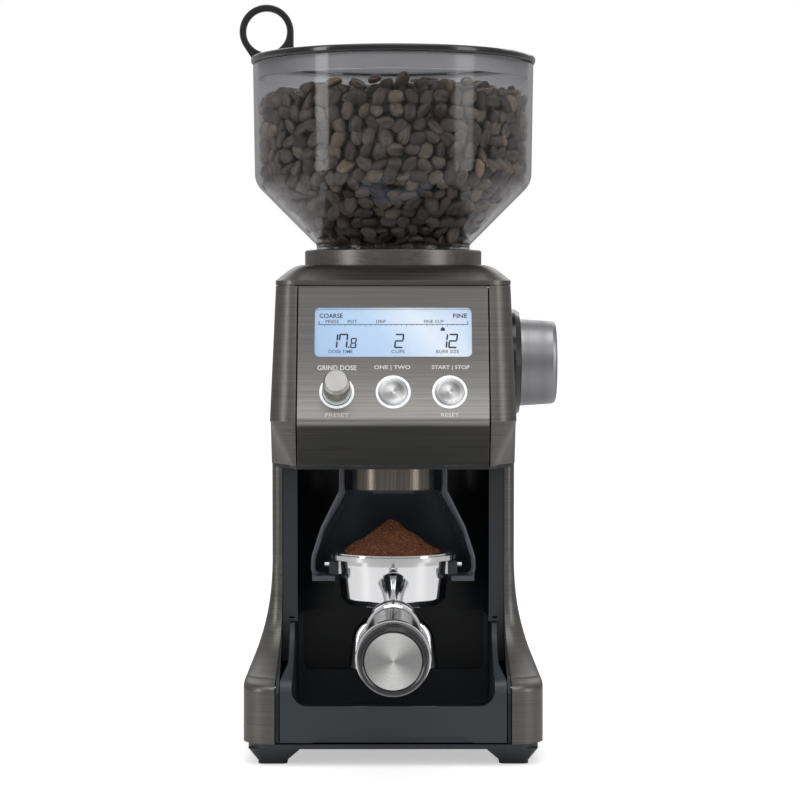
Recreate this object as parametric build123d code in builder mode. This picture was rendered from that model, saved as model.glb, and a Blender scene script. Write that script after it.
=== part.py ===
from build123d import *

import math
import os

# Burr coffee grinder, millimetres. +X is the user's right, -Y the front, +Z up.
# The origin is on the counter, straight under the burr axis.

os.makedirs("parts", exist_ok=True)

# ---------------------------------------------------------------- driving dimensions
# Heights
PAD_T = 1.5                 # rubber foot pads
PLATE_BOTTOM = 8.5          # base plate
PLATE_TOP = 10.8
WALL_BOTTOM = 11.0          # lower edge of the housing walls
SHOULDER = 40.0             # top of the front feet
RECESS_Z = 85.0             # where the C-shaped side edge turns vertical
WAIST = 100.0
CHIN = 148.0                # underside of the head
CREASE = 170.9              # bend between control panel and chin
SEAM = 239.0                # top of the walls
COVER_Z = 239.3
COVER_TOP = 249.6
COLLAR_TOP = 258.0
HOPPER_FOOT = 246.0
CONE_Z = 260.7              # the hopper's cone starts here
RIM_Z = 356.0               # top edge of the hopper
LID_Z = 356.2
LID_TOP = 360.0

# Widths and depths
FOOT_HALF = 75.0            # half the width at the feet
BODY_HALF = 62.3            # half the width of the body
TOP_HALF = 60.4             # half the width under the top cover
WALL = 2.4
FRONT_Y = -98.0             # front of the feet
RECESS_Y = -50.0            # front edge of the walls beside the bay
WALL_BACK_Y = 82.0          # back end of the side walls
BACK_Y = 97.0
PANEL_TOP_Y = -57.0         # control panel at the top cover
CREASE_Y = -85.0
CHIN_Y = -75.0
PANEL_HALF = 48.1
BEZIER_ARC = 0.5523         # handle length of a Bezier quarter arc

# Control panel: distances down its slope from the top edge
PANEL_TILT = math.atan2(PANEL_TOP_Y - CREASE_Y, SEAM + 0.2 - CREASE)
PANEL_T = 2.4
DISPLAY_W, DISPLAY_H, DISPLAY_V = 79.3, 26.4, 25.8
CONTROL_V = 58.2
CONTROL_X = 28.3
RING_IN, RING_OUT = 7.45, 8.75

# Drive train, in the order burr shaft, idler, motor
IDLER_XY = (19.47, 39.18)
MOTOR_XY = (0.0, 62.0)
BURR_MODULE, BURR_TEETH, IDLER_SMALL_TEETH = 1.25, 54, 16
MOTOR_MODULE, IDLER_BIG_TEETH, MOTOR_TEETH = 1.0, 45, 15
SHAFT_R = 5.0
BEARING_R = 11.0

# Grind-size drive
DIAL_Z = 198.5
DIAL_MODULE, DIAL_TEETH, CROWN_TEETH = 1.5, 14, 54
DIAL_PITCH_R = DIAL_MODULE * DIAL_TEETH / 2

# Outlet, cradle and portafilter share this vertical axis
OUTLET_Y = -50.0
OUTLET_BOTTOM = 134.7

RUN_FIT = 0.05              # radial clearance of a shaft in its bore


# ---------------------------------------------------------------- helpers
def polar(radius, degrees):
    """A point on a circle about the origin."""
    return (radius * math.cos(math.radians(degrees)), radius * math.sin(math.radians(degrees)))


def half_width(z):
    """Half the outside width of the housing: feet, waist flare, straight body, slight taper."""
    if z < SHOULDER:
        return FOOT_HALF
    if z < WAIST:
        return BODY_HALF + (FOOT_HALF - BODY_HALF) * ((WAIST - z) / (WAIST - SHOULDER)) ** 2.2
    if z < CREASE:
        return BODY_HALF
    return BODY_HALF - (BODY_HALF - TOP_HALF) * (z - CREASE) / (SEAM - CREASE)


def front_edge(z):
    """Y of the side walls' C-shaped front edge, with the foot's top edge rounded over."""
    rounding = {37.0: 0.0, 39.0: 1.0, 40.5: 3.5, 43.0: 9.5}
    if z in rounding:
        return FRONT_Y + rounding[z]
    if z < SHOULDER:
        return FRONT_Y
    if z < RECESS_Z:
        return RECESS_Y + (FRONT_Y - RECESS_Y) * ((RECESS_Z - z) / (RECESS_Z - SHOULDER)) ** 3
    return RECESS_Y


def recess_share(z):
    """0 at the foot's top, 1 where the bay's edge is vertical."""
    return min(max((z - SHOULDER) / (RECESS_Z - SHOULDER), 0.0), 1.0)


def wall_section(z):
    """Right-hand wall below the head: front strip, rounded corner and flat side."""
    share = recess_share(z)
    hw, yf = half_width(z), front_edge(z)
    x_in = 57.0 + 2.0 * (1 - share) ** 2
    x_corner = x_in + 0.6
    rx, ry = hw - x_corner, 14.5 - 9.0 * share
    k = BEZIER_ARC
    with BuildSketch(Plane.XY.offset(z)) as section:
        with BuildLine():
            Line((x_in, yf), (x_corner, yf))
            Bezier((x_corner, yf), (x_corner + k * rx, yf), (hw, yf + ry - k * ry), (hw, yf + ry))
            Line((hw, yf + ry), (hw, WALL_BACK_Y))
            Line((hw, WALL_BACK_Y), (hw - WALL, WALL_BACK_Y))
            Line((hw - WALL, WALL_BACK_Y), (hw - WALL, yf + ry))
            Bezier(
                (hw - WALL, yf + ry),
                (hw - WALL, yf + WALL + (1 - k) * (ry - WALL)),
                (x_corner + k * (rx - WALL), yf + WALL),
                (x_corner, yf + WALL),
            )
            Line((x_corner, yf + WALL), (x_in, yf + WALL))
            Line((x_in, yf + WALL), (x_in, yf))
        make_face()
    return section.sketch


def head_section(z, yf, x_corner, facet_front, facet_back, pull):
    """Right-hand wall of the head: strip beside the panel, corner, bevel facet and side.

    facet_front and facet_back are the outside ends of the bevel facet; pull holds the two
    middle control points of the corner curve.
    """
    x_in = PANEL_HALF + 0.8
    hw = half_width(z)
    dx, dy = facet_back[0] - facet_front[0], facet_back[1] - facet_front[1]
    size = math.hypot(dx, dy)
    nx, ny = -dy / size * WALL, dx / size * WALL
    inner_front = (facet_front[0] + nx, facet_front[1] + ny)
    inner_back = (hw - WALL, facet_back[1] + 0.3 * ny)
    with BuildSketch(Plane.XY.offset(z)) as section:
        with BuildLine():
            Line((x_in, yf), (x_corner, yf))
            Bezier((x_corner, yf), pull[0], pull[1], facet_front)
            Line(facet_front, facet_back)
            Line(facet_back, (hw, WALL_BACK_Y))
            Line((hw, WALL_BACK_Y), (hw - WALL, WALL_BACK_Y))
            Line((hw - WALL, WALL_BACK_Y), inner_back)
            Line(inner_back, inner_front)
            Bezier(
                inner_front,
                (pull[1][0] + 0.7 * nx, pull[1][1] + WALL * 0.6),
                (pull[0][0] + 0.4 * nx, yf + WALL),
                (x_corner, yf + WALL),
            )
            Line((x_corner, yf + WALL), (x_in, yf + WALL))
            Line((x_in, yf + WALL), (x_in, yf))
        make_face()
    return section.sketch


def side_wall():
    """The whole right-hand wall, without its dial hole."""
    k = BEZIER_ARC
    chin = head_section(
        CHIN, CHIN_Y, 50.0, (54.5, -62.0), (BODY_HALF, -50.0), ((51.8, CHIN_Y), (51.7, -66.3))
    )
    ry = 13.0
    upper = []
    for z, hw, yf in ((CREASE, BODY_HALF - 0.1, CREASE_Y), (SEAM, TOP_HALF - 0.1, PANEL_TOP_Y)):
        rx = hw - 49.5
        pull = ((49.5 + k * rx, yf), (hw, yf + (1 - k) * ry))
        upper.append(head_section(z, yf, 49.5, (hw, yf + ry), (half_width(z), yf + ry + 10), pull))
    crease, top = upper
    with BuildPart() as wall:
        loft([wall_section(WALL_BOTTOM), wall_section(37.0)], ruled=True)
        loft([wall_section(z) for z in (37.0, 39.0, 40.5, 43.0)])
        loft([wall_section(z) for z in (43.0, 48.0, 54.0, 61.0, 69.0, 77.0, RECESS_Z, WAIST)])
        loft([wall_section(WAIST), wall_section(CHIN)], ruled=True)
        loft([chin, crease], ruled=True)
        loft([crease, top], ruled=True)
    return wall.part


def u_section(z, half, front, back, radius, wall):
    """A U-shaped wall open to the front: half and back are its inner faces."""
    outer = half + wall
    outer_back = back + wall
    outer_r = radius + wall
    with BuildSketch(Plane.XY.offset(z)) as section:
        with BuildLine():
            Line((-outer, front), (-outer, outer_back - outer_r))
            RadiusArc((-outer, outer_back - outer_r), (-outer + outer_r, outer_back), outer_r)
            Line((-outer + outer_r, outer_back), (outer - outer_r, outer_back))
            RadiusArc((outer - outer_r, outer_back), (outer, outer_back - outer_r), outer_r)
            Line((outer, outer_back - outer_r), (outer, front))
            Line((outer, front), (half, front))
            Line((half, front), (half, back - radius))
            RadiusArc((half, back - radius), (half - radius, back), -radius)
            Line((half - radius, back), (-half + radius, back))
            RadiusArc((-half + radius, back), (-half, back - radius), -radius)
            Line((-half, back - radius), (-half, front))
            Line((-half, front), (-outer, front))
        make_face()
    return section.sketch


def gear_sketch(module, teeth, backlash=0.14, addendum=1.0):
    """Involute spur gear face, 20 degree pressure angle, with one tooth centred on +X."""
    pressure = math.radians(20)
    pitch_r = module * teeth / 2
    base_r = pitch_r * math.cos(pressure)
    tip_r = pitch_r + addendum * module
    root_r = pitch_r - 1.25 * module
    half_tooth = (math.pi * module / 2 - backlash) / (2 * pitch_r)
    start_r = max(base_r, root_r)

    def flank(radius):
        angle = math.acos(min(base_r / radius, 1.0))
        spread = math.tan(pressure) - pressure - (math.tan(angle) - angle)
        return math.degrees(half_tooth + spread)

    radii = [start_r + (tip_r - start_r) * step / 3 for step in range(4)]
    pitch_angle = 360 / teeth
    with BuildSketch() as face:
        with BuildLine():
            for tooth in range(teeth):
                mid = tooth * pitch_angle
                if root_r < start_r:
                    Line(polar(root_r, mid - flank(start_r)), polar(start_r, mid - flank(start_r)))
                Polyline(*[polar(r, mid - flank(r)) for r in radii])
                Line(polar(tip_r, mid - flank(tip_r)), polar(tip_r, mid + flank(tip_r)))
                Polyline(*[polar(r, mid + flank(r)) for r in reversed(radii)])
                if root_r < start_r:
                    Line(polar(start_r, mid + flank(start_r)), polar(root_r, mid + flank(start_r)))
                Line(
                    polar(root_r, mid + flank(start_r)),
                    polar(root_r, mid + pitch_angle - flank(start_r)),
                )
        make_face()
    return face.sketch


def gear_plane(x, y, z, degrees):
    """Plane for a gear on a vertical shaft, its first tooth pointing at the given angle."""
    return Plane(origin=(x, y, z), x_dir=(*polar(1, degrees), 0), z_dir=(0, 0, 1))


def train_outline(grow):
    """Hull round the three gear axes; grow is added to each radius."""
    with BuildSketch() as outline:
        Circle(37.6 + grow)
        with Locations(IDLER_XY):
            Circle(24.8 + grow)
        with Locations(MOTOR_XY):
            Circle(19.6 + grow)
        make_hull()
    return outline.sketch


def on_panel(x, v, height=0.0):
    """Plane on the control panel: x across, v down the slope, height above its face."""
    origin = PANEL.from_local_coords((x, -v, height))
    return Plane(origin=origin, x_dir=PANEL.x_dir, z_dir=PANEL.z_dir)


PANEL = Plane(
    origin=(0, PANEL_TOP_Y, SEAM + 0.2),
    x_dir=(1, 0, 0),
    z_dir=(0, -math.cos(PANEL_TILT), math.sin(PANEL_TILT)),
)


# ---------------------------------------------------------------- base and feet
FOOT_TOP_X = (45.5, 72.2)
FOOT_TIP_X = (53.0, 67.5)
FOOT_TOP_Y = (60.0, 96.0)
FOOT_TIP_Y = (66.0, 90.0)
FEET = [(side, end) for side in (-1, 1) for end in (-1, 1)]


def foot_rectangle(z, side, end, x_span, y_span):
    """One level of a tapered foot, at the left or right (side) and front or back (end)."""
    centre = (side * sum(x_span) / 2, end * sum(y_span) / 2)
    with BuildSketch(Plane.XY.offset(z)) as level:
        with Locations(centre):
            RectangleRounded(x_span[1] - x_span[0], y_span[1] - y_span[0], 3)
    return level.sketch


with BuildPart() as base_frame:
    with BuildSketch(Plane.XY.offset(PLATE_BOTTOM)):
        with Locations((0, -1.5)):
            RectangleRounded(145, 191, 12)
        with GridLocations(18, 9, 4, 6):
            SlotOverall(14, 4, mode=Mode.SUBTRACT)
    extrude(amount=PLATE_TOP - PLATE_BOTTOM)
    for side, end in FEET:
        loft([
            foot_rectangle(PAD_T, side, end, FOOT_TIP_X, FOOT_TIP_Y),
            foot_rectangle(PLATE_BOTTOM + 0.2, side, end, FOOT_TOP_X, FOOT_TOP_Y),
        ])

with BuildPart() as foot_pads:
    with BuildSketch():
        for side, end in FEET:
            with Locations((side * sum(FOOT_TIP_X) / 2, end * sum(FOOT_TIP_Y) / 2)):
                RectangleRounded(FOOT_TIP_X[1] - FOOT_TIP_X[0], FOOT_TIP_Y[1] - FOOT_TIP_Y[0], 3)
    extrude(amount=PAD_T)


# ---------------------------------------------------------------- housing
DIAL_HOLE_R = 28.5
REAR_R = 14.0
SCREW_X, SCREW_Z = 46.0, (24.0, 128.0, 226.0)

with BuildPart() as right_side_panel:
    add(side_wall())
    with BuildSketch(Plane.YZ.offset(50)):
        with Locations((0, DIAL_Z)):
            Circle(DIAL_HOLE_R)
    extrude(amount=20, mode=Mode.SUBTRACT)

with BuildPart() as left_side_panel:
    add(mirror(side_wall(), about=Plane.YZ, mode=Mode.PRIVATE))


def rear_section(z):
    """One level of the rear cover, which closes the housing from side wall to side wall."""
    return u_section(z, half_width(z) - WALL, WALL_BACK_Y + 0.6, BACK_Y - WALL, REAR_R - WALL, WALL)


def screw_planes():
    """Planes on the rear cover, one at each screw, facing backwards."""
    return [
        Plane(origin=(x, BACK_Y, z), x_dir=(-1, 0, 0), z_dir=(0, 1, 0))
        for x in (-SCREW_X, SCREW_X)
        for z in SCREW_Z
    ]


GLAND_Z = 28.0
GLAND_R = 6.0
CORD_R = 3.2
with BuildPart() as rear_cover:
    loft([rear_section(WALL_BOTTOM), rear_section(SHOULDER - 0.5)], ruled=True)
    loft([rear_section(z) for z in (SHOULDER - 0.5, 45.0, 52.0, 60.0, 70.0, RECESS_Z, WAIST)])
    loft([rear_section(WAIST), rear_section(CREASE)], ruled=True)
    loft([rear_section(CREASE), rear_section(SEAM)], ruled=True)
    with BuildSketch(Plane.XZ.offset(-BACK_Y)):
        with Locations((0, 85)):
            with GridLocations(0, 6.0, 1, 9):
                SlotOverall(46, 2.6)
        with Locations((0, GLAND_Z)):
            Circle(GLAND_R + 0.1)
        for x in (-SCREW_X, SCREW_X):
            for z in SCREW_Z:
                with Locations((x, z)):
                    Circle(1.7)
    extrude(amount=WALL + 1, mode=Mode.SUBTRACT)

with BuildPart() as case_screws:
    for plane in screw_planes():
        with BuildSketch(plane.offset(0.1)):
            Circle(1.6)
        extrude(amount=-9)
        with BuildSketch(plane.offset(0.05)):
            Circle(3.4)
        extrude(amount=1.8)
    with BuildSketch(Plane.XZ.offset(-BACK_Y - 1.0)):
        for x in (-SCREW_X, SCREW_X):
            for z in SCREW_Z:
                with Locations((x, z)):
                    Rectangle(4.2, 0.9)
                    Rectangle(0.9, 4.2)
    extrude(amount=-2, mode=Mode.SUBTRACT)

with BuildPart() as cord_gland:
    with BuildSketch(Plane.XZ.offset(-(BACK_Y - WALL - 4))):
        with Locations((0, GLAND_Z)):
            Circle(GLAND_R)
    extrude(amount=-(WALL + 5))
    with BuildSketch(Plane.XZ.offset(-BACK_Y - 0.1)):
        with Locations((0, GLAND_Z)):
            Circle(9)
    extrude(amount=-3)
    fillet(cord_gland.faces().sort_by(Axis.Y)[-1].edges(), 1.2)
    with BuildSketch(Plane.XZ.offset(-(BACK_Y - WALL - 6))):
        with Locations((0, GLAND_Z)):
            Circle(CORD_R)
    extrude(amount=-14, mode=Mode.SUBTRACT)

with BuildPart() as front_panel:
    with BuildSketch(Plane.YZ.offset(-PANEL_HALF)):
        with BuildLine():
            Polyline((PANEL_TOP_Y, SEAM), (CREASE_Y, CREASE), (CHIN_Y, CHIN))
            offset(amount=PANEL_T, side=Side.LEFT)
        make_face()
    extrude(amount=2 * PANEL_HALF)
    crease_edges = front_panel.edges().filter_by(Axis.X).group_by(Axis.Y)[0]
    fillet(crease_edges, 5)
    with BuildSketch(on_panel(0, DISPLAY_V, 1)):
        RectangleRounded(DISPLAY_W + 0.2, DISPLAY_H + 0.2, 2.6)
    extrude(amount=-PANEL_T - 2, mode=Mode.SUBTRACT)
    with BuildSketch(on_panel(0, CONTROL_V, 1)):
        with Locations((-CONTROL_X, 0), (0, 0), (CONTROL_X, 0)):
            Circle(RING_OUT + 0.05)
    extrude(amount=-PANEL_T - 2, mode=Mode.SUBTRACT)

# Cover sections: height, half width, front, back, corner radius
COVER_SECTIONS = (
    (241.5, 60.4, -58.0, 96.0, 14.0),
    (244.5, 56.8, -54.6, 92.5, 13.0),
    (247.7, 52.5, -50.6, 88.0, 12.0),
    (COVER_TOP, 47.6, -46.4, 83.5, 11.0),
)
COLLAR_R = 46.8
COLLAR_BORE_R = 41.3
LEDGE_R = 38.9              # the hopper's foot drops inside this ledge
LEDGE_Z = 251.7


def cover_section(z, half, front, back, radius):
    """Rounded rectangle at one height of the top cover."""
    with BuildSketch(Plane.XY.offset(z)) as level:
        with Locations((0, (front + back) / 2)):
            RectangleRounded(2 * half, back - front, radius)
    return level.sketch


with BuildPart() as top_cover:
    band = COVER_SECTIONS[0]
    loft([cover_section(COVER_Z, *band[1:]), cover_section(*band)], ruled=True)
    loft([cover_section(*level) for level in COVER_SECTIONS])
    with BuildSketch(Plane.XY.offset(COVER_TOP - 0.2)):
        Circle(COLLAR_R)
    extrude(amount=COLLAR_TOP - COVER_TOP + 0.2)
    fillet(top_cover.faces().sort_by(Axis.Z)[-1].edges(), 1.2)
    with BuildSketch(Plane.XY.offset(COVER_Z)):
        with Locations((0, 19)):
            RectangleRounded(102, 134, 9)
    extrude(amount=5.9, mode=Mode.SUBTRACT)
    with BuildSketch(Plane.XY.offset(COVER_Z)):
        Circle(LEDGE_R)
    extrude(amount=COLLAR_TOP, mode=Mode.SUBTRACT)
    with BuildSketch(Plane.XY.offset(LEDGE_Z)):
        Circle(COLLAR_BORE_R)
    extrude(amount=COLLAR_TOP, mode=Mode.SUBTRACT)

# ---------------------------------------------------------------- bay
BAY_HALF_LOW, BAY_HALF_HIGH = 49.0, 53.0
BAY_BACK_Y = 8.0
BAY_R = 22.0
LINER_T = 2.0
LEDGE_BOTTOM, LEDGE_TOP = 66.4, 68.0
LOWER_HALF = 53.3
ROOF_BOTTOM = 146.2
OUTLET_HOLE_R = 22.7
PLUNGER_Z = 100.0


def c_curve(inset, levels):
    """Points of the side walls' front edge, moved back by inset, as (y, z) pairs."""
    return [(front_edge(z) + inset, z) for z in levels]


with BuildPart() as cavity_liner:
    loft([
        u_section(LEDGE_TOP, BAY_HALF_LOW, RECESS_Y + 0.5, BAY_BACK_Y, BAY_R, LINER_T),
        u_section(ROOF_BOTTOM, BAY_HALF_HIGH, RECESS_Y + 0.5, BAY_BACK_Y, BAY_R, LINER_T),
    ])
    with BuildSketch(Plane.XY.offset(ROOF_BOTTOM)):
        with BuildLine():
            Polyline(
                (56.7, 10), (56.7, -50.6), (60.5, -50.6), (53, -61.6), (49, -73.4), (-49, -73.4),
                (-53, -61.6), (-60.5, -50.6), (-56.7, -50.6), (-56.7, 10), close=True,
            )
        make_face()
        with Locations((0, OUTLET_Y)):
            Circle(OUTLET_HOLE_R, mode=Mode.SUBTRACT)
    extrude(amount=CHIN - 0.1 - ROOF_BOTTOM)
    ledge = u_section(LEDGE_BOTTOM, BAY_HALF_LOW, RECESS_Y + 0.5, BAY_BACK_Y, BAY_R, 6.2)
    extrude(ledge, amount=LEDGE_TOP - LEDGE_BOTTOM)
    lower = u_section(12, LOWER_HALF, RECESS_Y + 0.5, BAY_BACK_Y + 2.5, 3, 1.6)
    extrude(lower, amount=LEDGE_BOTTOM - 12)
    with BuildSketch(Plane.YZ.offset(57.0)):
        with BuildLine():
            inset = WALL + 0.3
            edge = Spline(*c_curve(inset, (43.0, 48, 54, 62, 72, RECESS_Z)))
            Polyline(edge @ 1, (RECESS_Y + inset, 146.4), (10, 146.4), (10, 11.2),
                     (FRONT_Y + inset, 11.2), (FRONT_Y + inset, 36), edge @ 0)
        make_face()
    lining = extrude(amount=1.6)
    mirror(lining, about=Plane.YZ)
    for y, x_out in ((RECESS_Y + 0.5, 56.8), (RECESS_Y + WALL + 0.3, 58.4)):
        with BuildSketch(Plane.XZ.offset(-y)):
            for side in (-1, 1):
                with Locations((side * (49.2 + x_out) / 2, 108)):
                    Rectangle(x_out - 49.2, 78)
                with Locations((side * (53.5 + x_out) / 2, 58)):
                    Rectangle(x_out - 53.5, 24)
        extrude(amount=-2.2)
    with BuildSketch(Plane.XY.offset(CHIN - 0.2)):
        with Locations((-30, -22), (30, -22), (-30, 4), (30, 4)):
            Circle(4)
            Circle(1.4, mode=Mode.SUBTRACT)
    extrude(amount=160 - CHIN + 0.1)
    with BuildSketch(Plane.XZ):
        with Locations((0, PLUNGER_Z)):
            Circle(4.05)
    extrude(amount=-20, mode=Mode.SUBTRACT)

with BuildPart() as outlet_chute:
    with BuildSketch(Plane.XY.offset(OUTLET_BOTTOM)):
        with Locations((0, OUTLET_Y)):
            Circle(21)
    extrude(amount=159 - OUTLET_BOTTOM)
    with BuildSketch(Plane.YZ.offset(-11)):
        Polygon(
            (-36, 207.4), (-55, 207.4), (-55, 157.5), (-41.5, 157.5), (-41.5, 196), (-36, 196), align=None
        )
    extrude(amount=22)
    with BuildSketch(Plane.XY.offset(OUTLET_BOTTOM)):
        with Locations((0, OUTLET_Y)):
            Circle(17)
    extrude(amount=157 - OUTLET_BOTTOM, mode=Mode.SUBTRACT)
    with BuildSketch(Plane.YZ.offset(-9.2)):
        Polygon(
            (-35, 206), (-53.2, 206), (-53.2, 150), (-43.3, 150), (-43.3, 199.3), (-35, 199.3), align=None
        )
    extrude(amount=18.4, mode=Mode.SUBTRACT)

with BuildPart() as outlet_trim:
    with BuildSketch(Plane.XY.offset(135.5)):
        with BuildLine():
            CenterArc((0, OUTLET_Y), 22.4, 270 - 58, 116)
            CenterArc((0, OUTLET_Y), 21.1, 270 - 58, 116)
            for angle in (270 - 58, 270 + 58):
                ends = [(Vector(*polar(r, angle)) + Vector(0, OUTLET_Y)) for r in (21.1, 22.4)]
                Line(*ends)
        make_face()
    extrude(amount=14.5)

# ---------------------------------------------------------------- display and controls
BOARD_TOP = -10.4           # heights below the panel's face
SWITCH_TIP = -6.6
PLUNGER_R = 3.0
DISH, DISH_R = 0.5, 5.4      # depth and radius of the hollow in each button's face

with BuildPart() as display_window:
    with BuildSketch(on_panel(0, DISPLAY_V, -1.6)):
        RectangleRounded(DISPLAY_W, DISPLAY_H, 2.5)
    extrude(amount=1.55)

with BuildPart() as display_panel:
    with BuildSketch(on_panel(0, DISPLAY_V, -4.6)):
        RectangleRounded(88, 33, 1)
    extrude(amount=2.0)
    with BuildSketch(on_panel(0, DISPLAY_V, -2.6)):
        RectangleRounded(DISPLAY_W - 1.6, DISPLAY_H - 1.6, 1.8)
    extrude(amount=0.8)

with BuildPart() as control_board:
    with BuildSketch(on_panel(0, 40, BOARD_TOP - 1.6)):
        RectangleRounded(92, 60, 2)
        with Locations((-42, 26), (42, 26), (-42, -26), (42, -26)):
            Circle(1.6, mode=Mode.SUBTRACT)
    extrude(amount=1.6)
    for x in (0, CONTROL_X):
        with BuildSketch(on_panel(x, CONTROL_V, BOARD_TOP)):
            Rectangle(6, 6)
        extrude(amount=2.6)
        with BuildSketch(on_panel(x, CONTROL_V, BOARD_TOP)):
            Circle(1.7)
        extrude(amount=SWITCH_TIP - BOARD_TOP)
    with BuildSketch(on_panel(-CONTROL_X, CONTROL_V, BOARD_TOP)):
        Rectangle(12, 12)
        Circle(PLUNGER_R + RUN_FIT, mode=Mode.SUBTRACT)
    extrude(amount=6)
    with BuildSketch(on_panel(0, DISPLAY_V, BOARD_TOP)):
        with GridLocations(22, 10, 4, 2):
            Rectangle(9, 5)
    extrude(amount=1.4)

with BuildPart() as light_rings:
    with BuildSketch(on_panel(0, CONTROL_V, -2.2)):
        with Locations((-CONTROL_X, 0), (0, 0), (CONTROL_X, 0)):
            Circle(RING_OUT)
            Circle(RING_IN + 0.05, mode=Mode.SUBTRACT)
    extrude(amount=2.7)


PANEL_AXIS = Axis(PANEL.origin, PANEL.z_dir)


def push_button(x):
    """A round spun-metal button with a shallow dish, on its stem."""
    with BuildPart() as button:
        with BuildSketch(on_panel(x, CONTROL_V, -2)):
            Circle(RING_IN - 0.2)
        extrude(amount=3.2)
        top_edge = button.faces().sort_by(PANEL_AXIS)[-1].edges()
        fillet(top_edge, 0.6)
        with BuildSketch(on_panel(x, CONTROL_V, -5.3)):
            Circle(2)
        extrude(amount=3.4)
        dish_r = (DISH_R**2 + DISH**2) / (2 * DISH)
        with Locations(on_panel(x, CONTROL_V, 1.2 - DISH + dish_r)):
            Sphere(dish_r, mode=Mode.SUBTRACT)
    return button.part


with BuildPart() as shots_button:
    add(push_button(0))

with BuildPart() as start_button:
    add(push_button(CONTROL_X))

with BuildPart() as encoder_plunger:
    with BuildSketch(on_panel(-CONTROL_X, CONTROL_V, -8.5)):
        Circle(PLUNGER_R)
    extrude(amount=21.5)

with BuildPart() as amount_knob:
    with BuildSketch(on_panel(-CONTROL_X, CONTROL_V, 0.9)):
        Circle(7.2)
    with BuildSketch(on_panel(-CONTROL_X, CONTROL_V, 14.0)):
        Circle(6.7)
    loft()
    with BuildSketch(on_panel(-CONTROL_X, CONTROL_V, 14.0)):
        Circle(6.7)
    with BuildSketch(on_panel(-CONTROL_X, CONTROL_V, 16.5)):
        Circle(5.5)
    loft()
    with BuildSketch(on_panel(-CONTROL_X, CONTROL_V, 0)):
        Circle(PLUNGER_R + RUN_FIT)
    extrude(amount=13.1, mode=Mode.SUBTRACT)

with BuildPart() as power_board:
    with BuildSketch(Plane.XY.offset(18)):
        with Locations((0, 54)):
            RectangleRounded(90, 60, 3)
    extrude(amount=1.6)
    with BuildSketch(Plane.XY.offset(19.6)):
        with Locations((-28, 60)):
            Rectangle(26, 30)
    extrude(amount=22)
    with BuildSketch(Plane.XY.offset(19.6)):
        with Locations((0, 42), (12, 42), (24, 42), (36, 42)):
            Circle(5)
    extrude(amount=16)
    with BuildSketch(Plane.XY.offset(19.6)):
        with Locations((20, 66)):
            Rectangle(34, 4)
        with Locations((10, 75), (26, 75)):
            Rectangle(10, 7)
    extrude(amount=14)
    with BuildSketch(Plane.XY.offset(PLATE_TOP + 0.1)):
        with GridLocations(80, 50, 2, 2):
            with Locations((0, 54)):
                Circle(2.5)
    extrude(amount=18.1 - PLATE_TOP - 0.1)

with BuildPart() as microswitches:
    with BuildSketch(Plane.XZ.offset(-13.8)):
        with Locations((0, PLUNGER_Z)):
            Rectangle(20, 12)
    extrude(amount=-9)
    with BuildSketch(Plane.XY.offset(228)):
        with Locations((-46, -24)):
            Rectangle(7, 18)
    extrude(amount=11)

# ---------------------------------------------------------------- drive train
GEARBOX_BOTTOM, GEARBOX_TOP = 160.0, 185.0
GEARBOX_WALL = 2.4
IDLER_ANGLE = math.degrees(math.atan2(IDLER_XY[1], IDLER_XY[0]))
MOTOR_ANGLE = math.degrees(math.atan2(MOTOR_XY[1] - IDLER_XY[1], MOTOR_XY[0] - IDLER_XY[0]))
CHAMBER_LEGS = [(x, y) for x in (-25, 25) for y in (-25, 25)]
CHAMBER_R = 35.5
CHAMBER_FLOOR = 199.0

with BuildPart() as gearbox_base:
    add(extrude(Plane.XY.offset(GEARBOX_BOTTOM) * train_outline(GEARBOX_WALL),
                amount=GEARBOX_TOP - 0.1 - GEARBOX_BOTTOM, mode=Mode.PRIVATE))
    add(extrude(Plane.XY.offset(GEARBOX_BOTTOM + 3) * train_outline(0),
                amount=GEARBOX_TOP, mode=Mode.PRIVATE), mode=Mode.SUBTRACT)
    with BuildSketch(Plane.XY.offset(153)):
        Circle(BEARING_R + 2)
    extrude(amount=10)
    with BuildSketch(Plane.XY.offset(155)):
        Circle(BEARING_R + RUN_FIT)
    extrude(amount=20, mode=Mode.SUBTRACT)
    with BuildSketch(Plane.XY.offset(150)):
        Circle(SHAFT_R + 1)
        with Locations(IDLER_XY):
            Circle(2.55)
        with Locations(MOTOR_XY):
            Circle(4)
    extrude(amount=20, mode=Mode.SUBTRACT)

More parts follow.
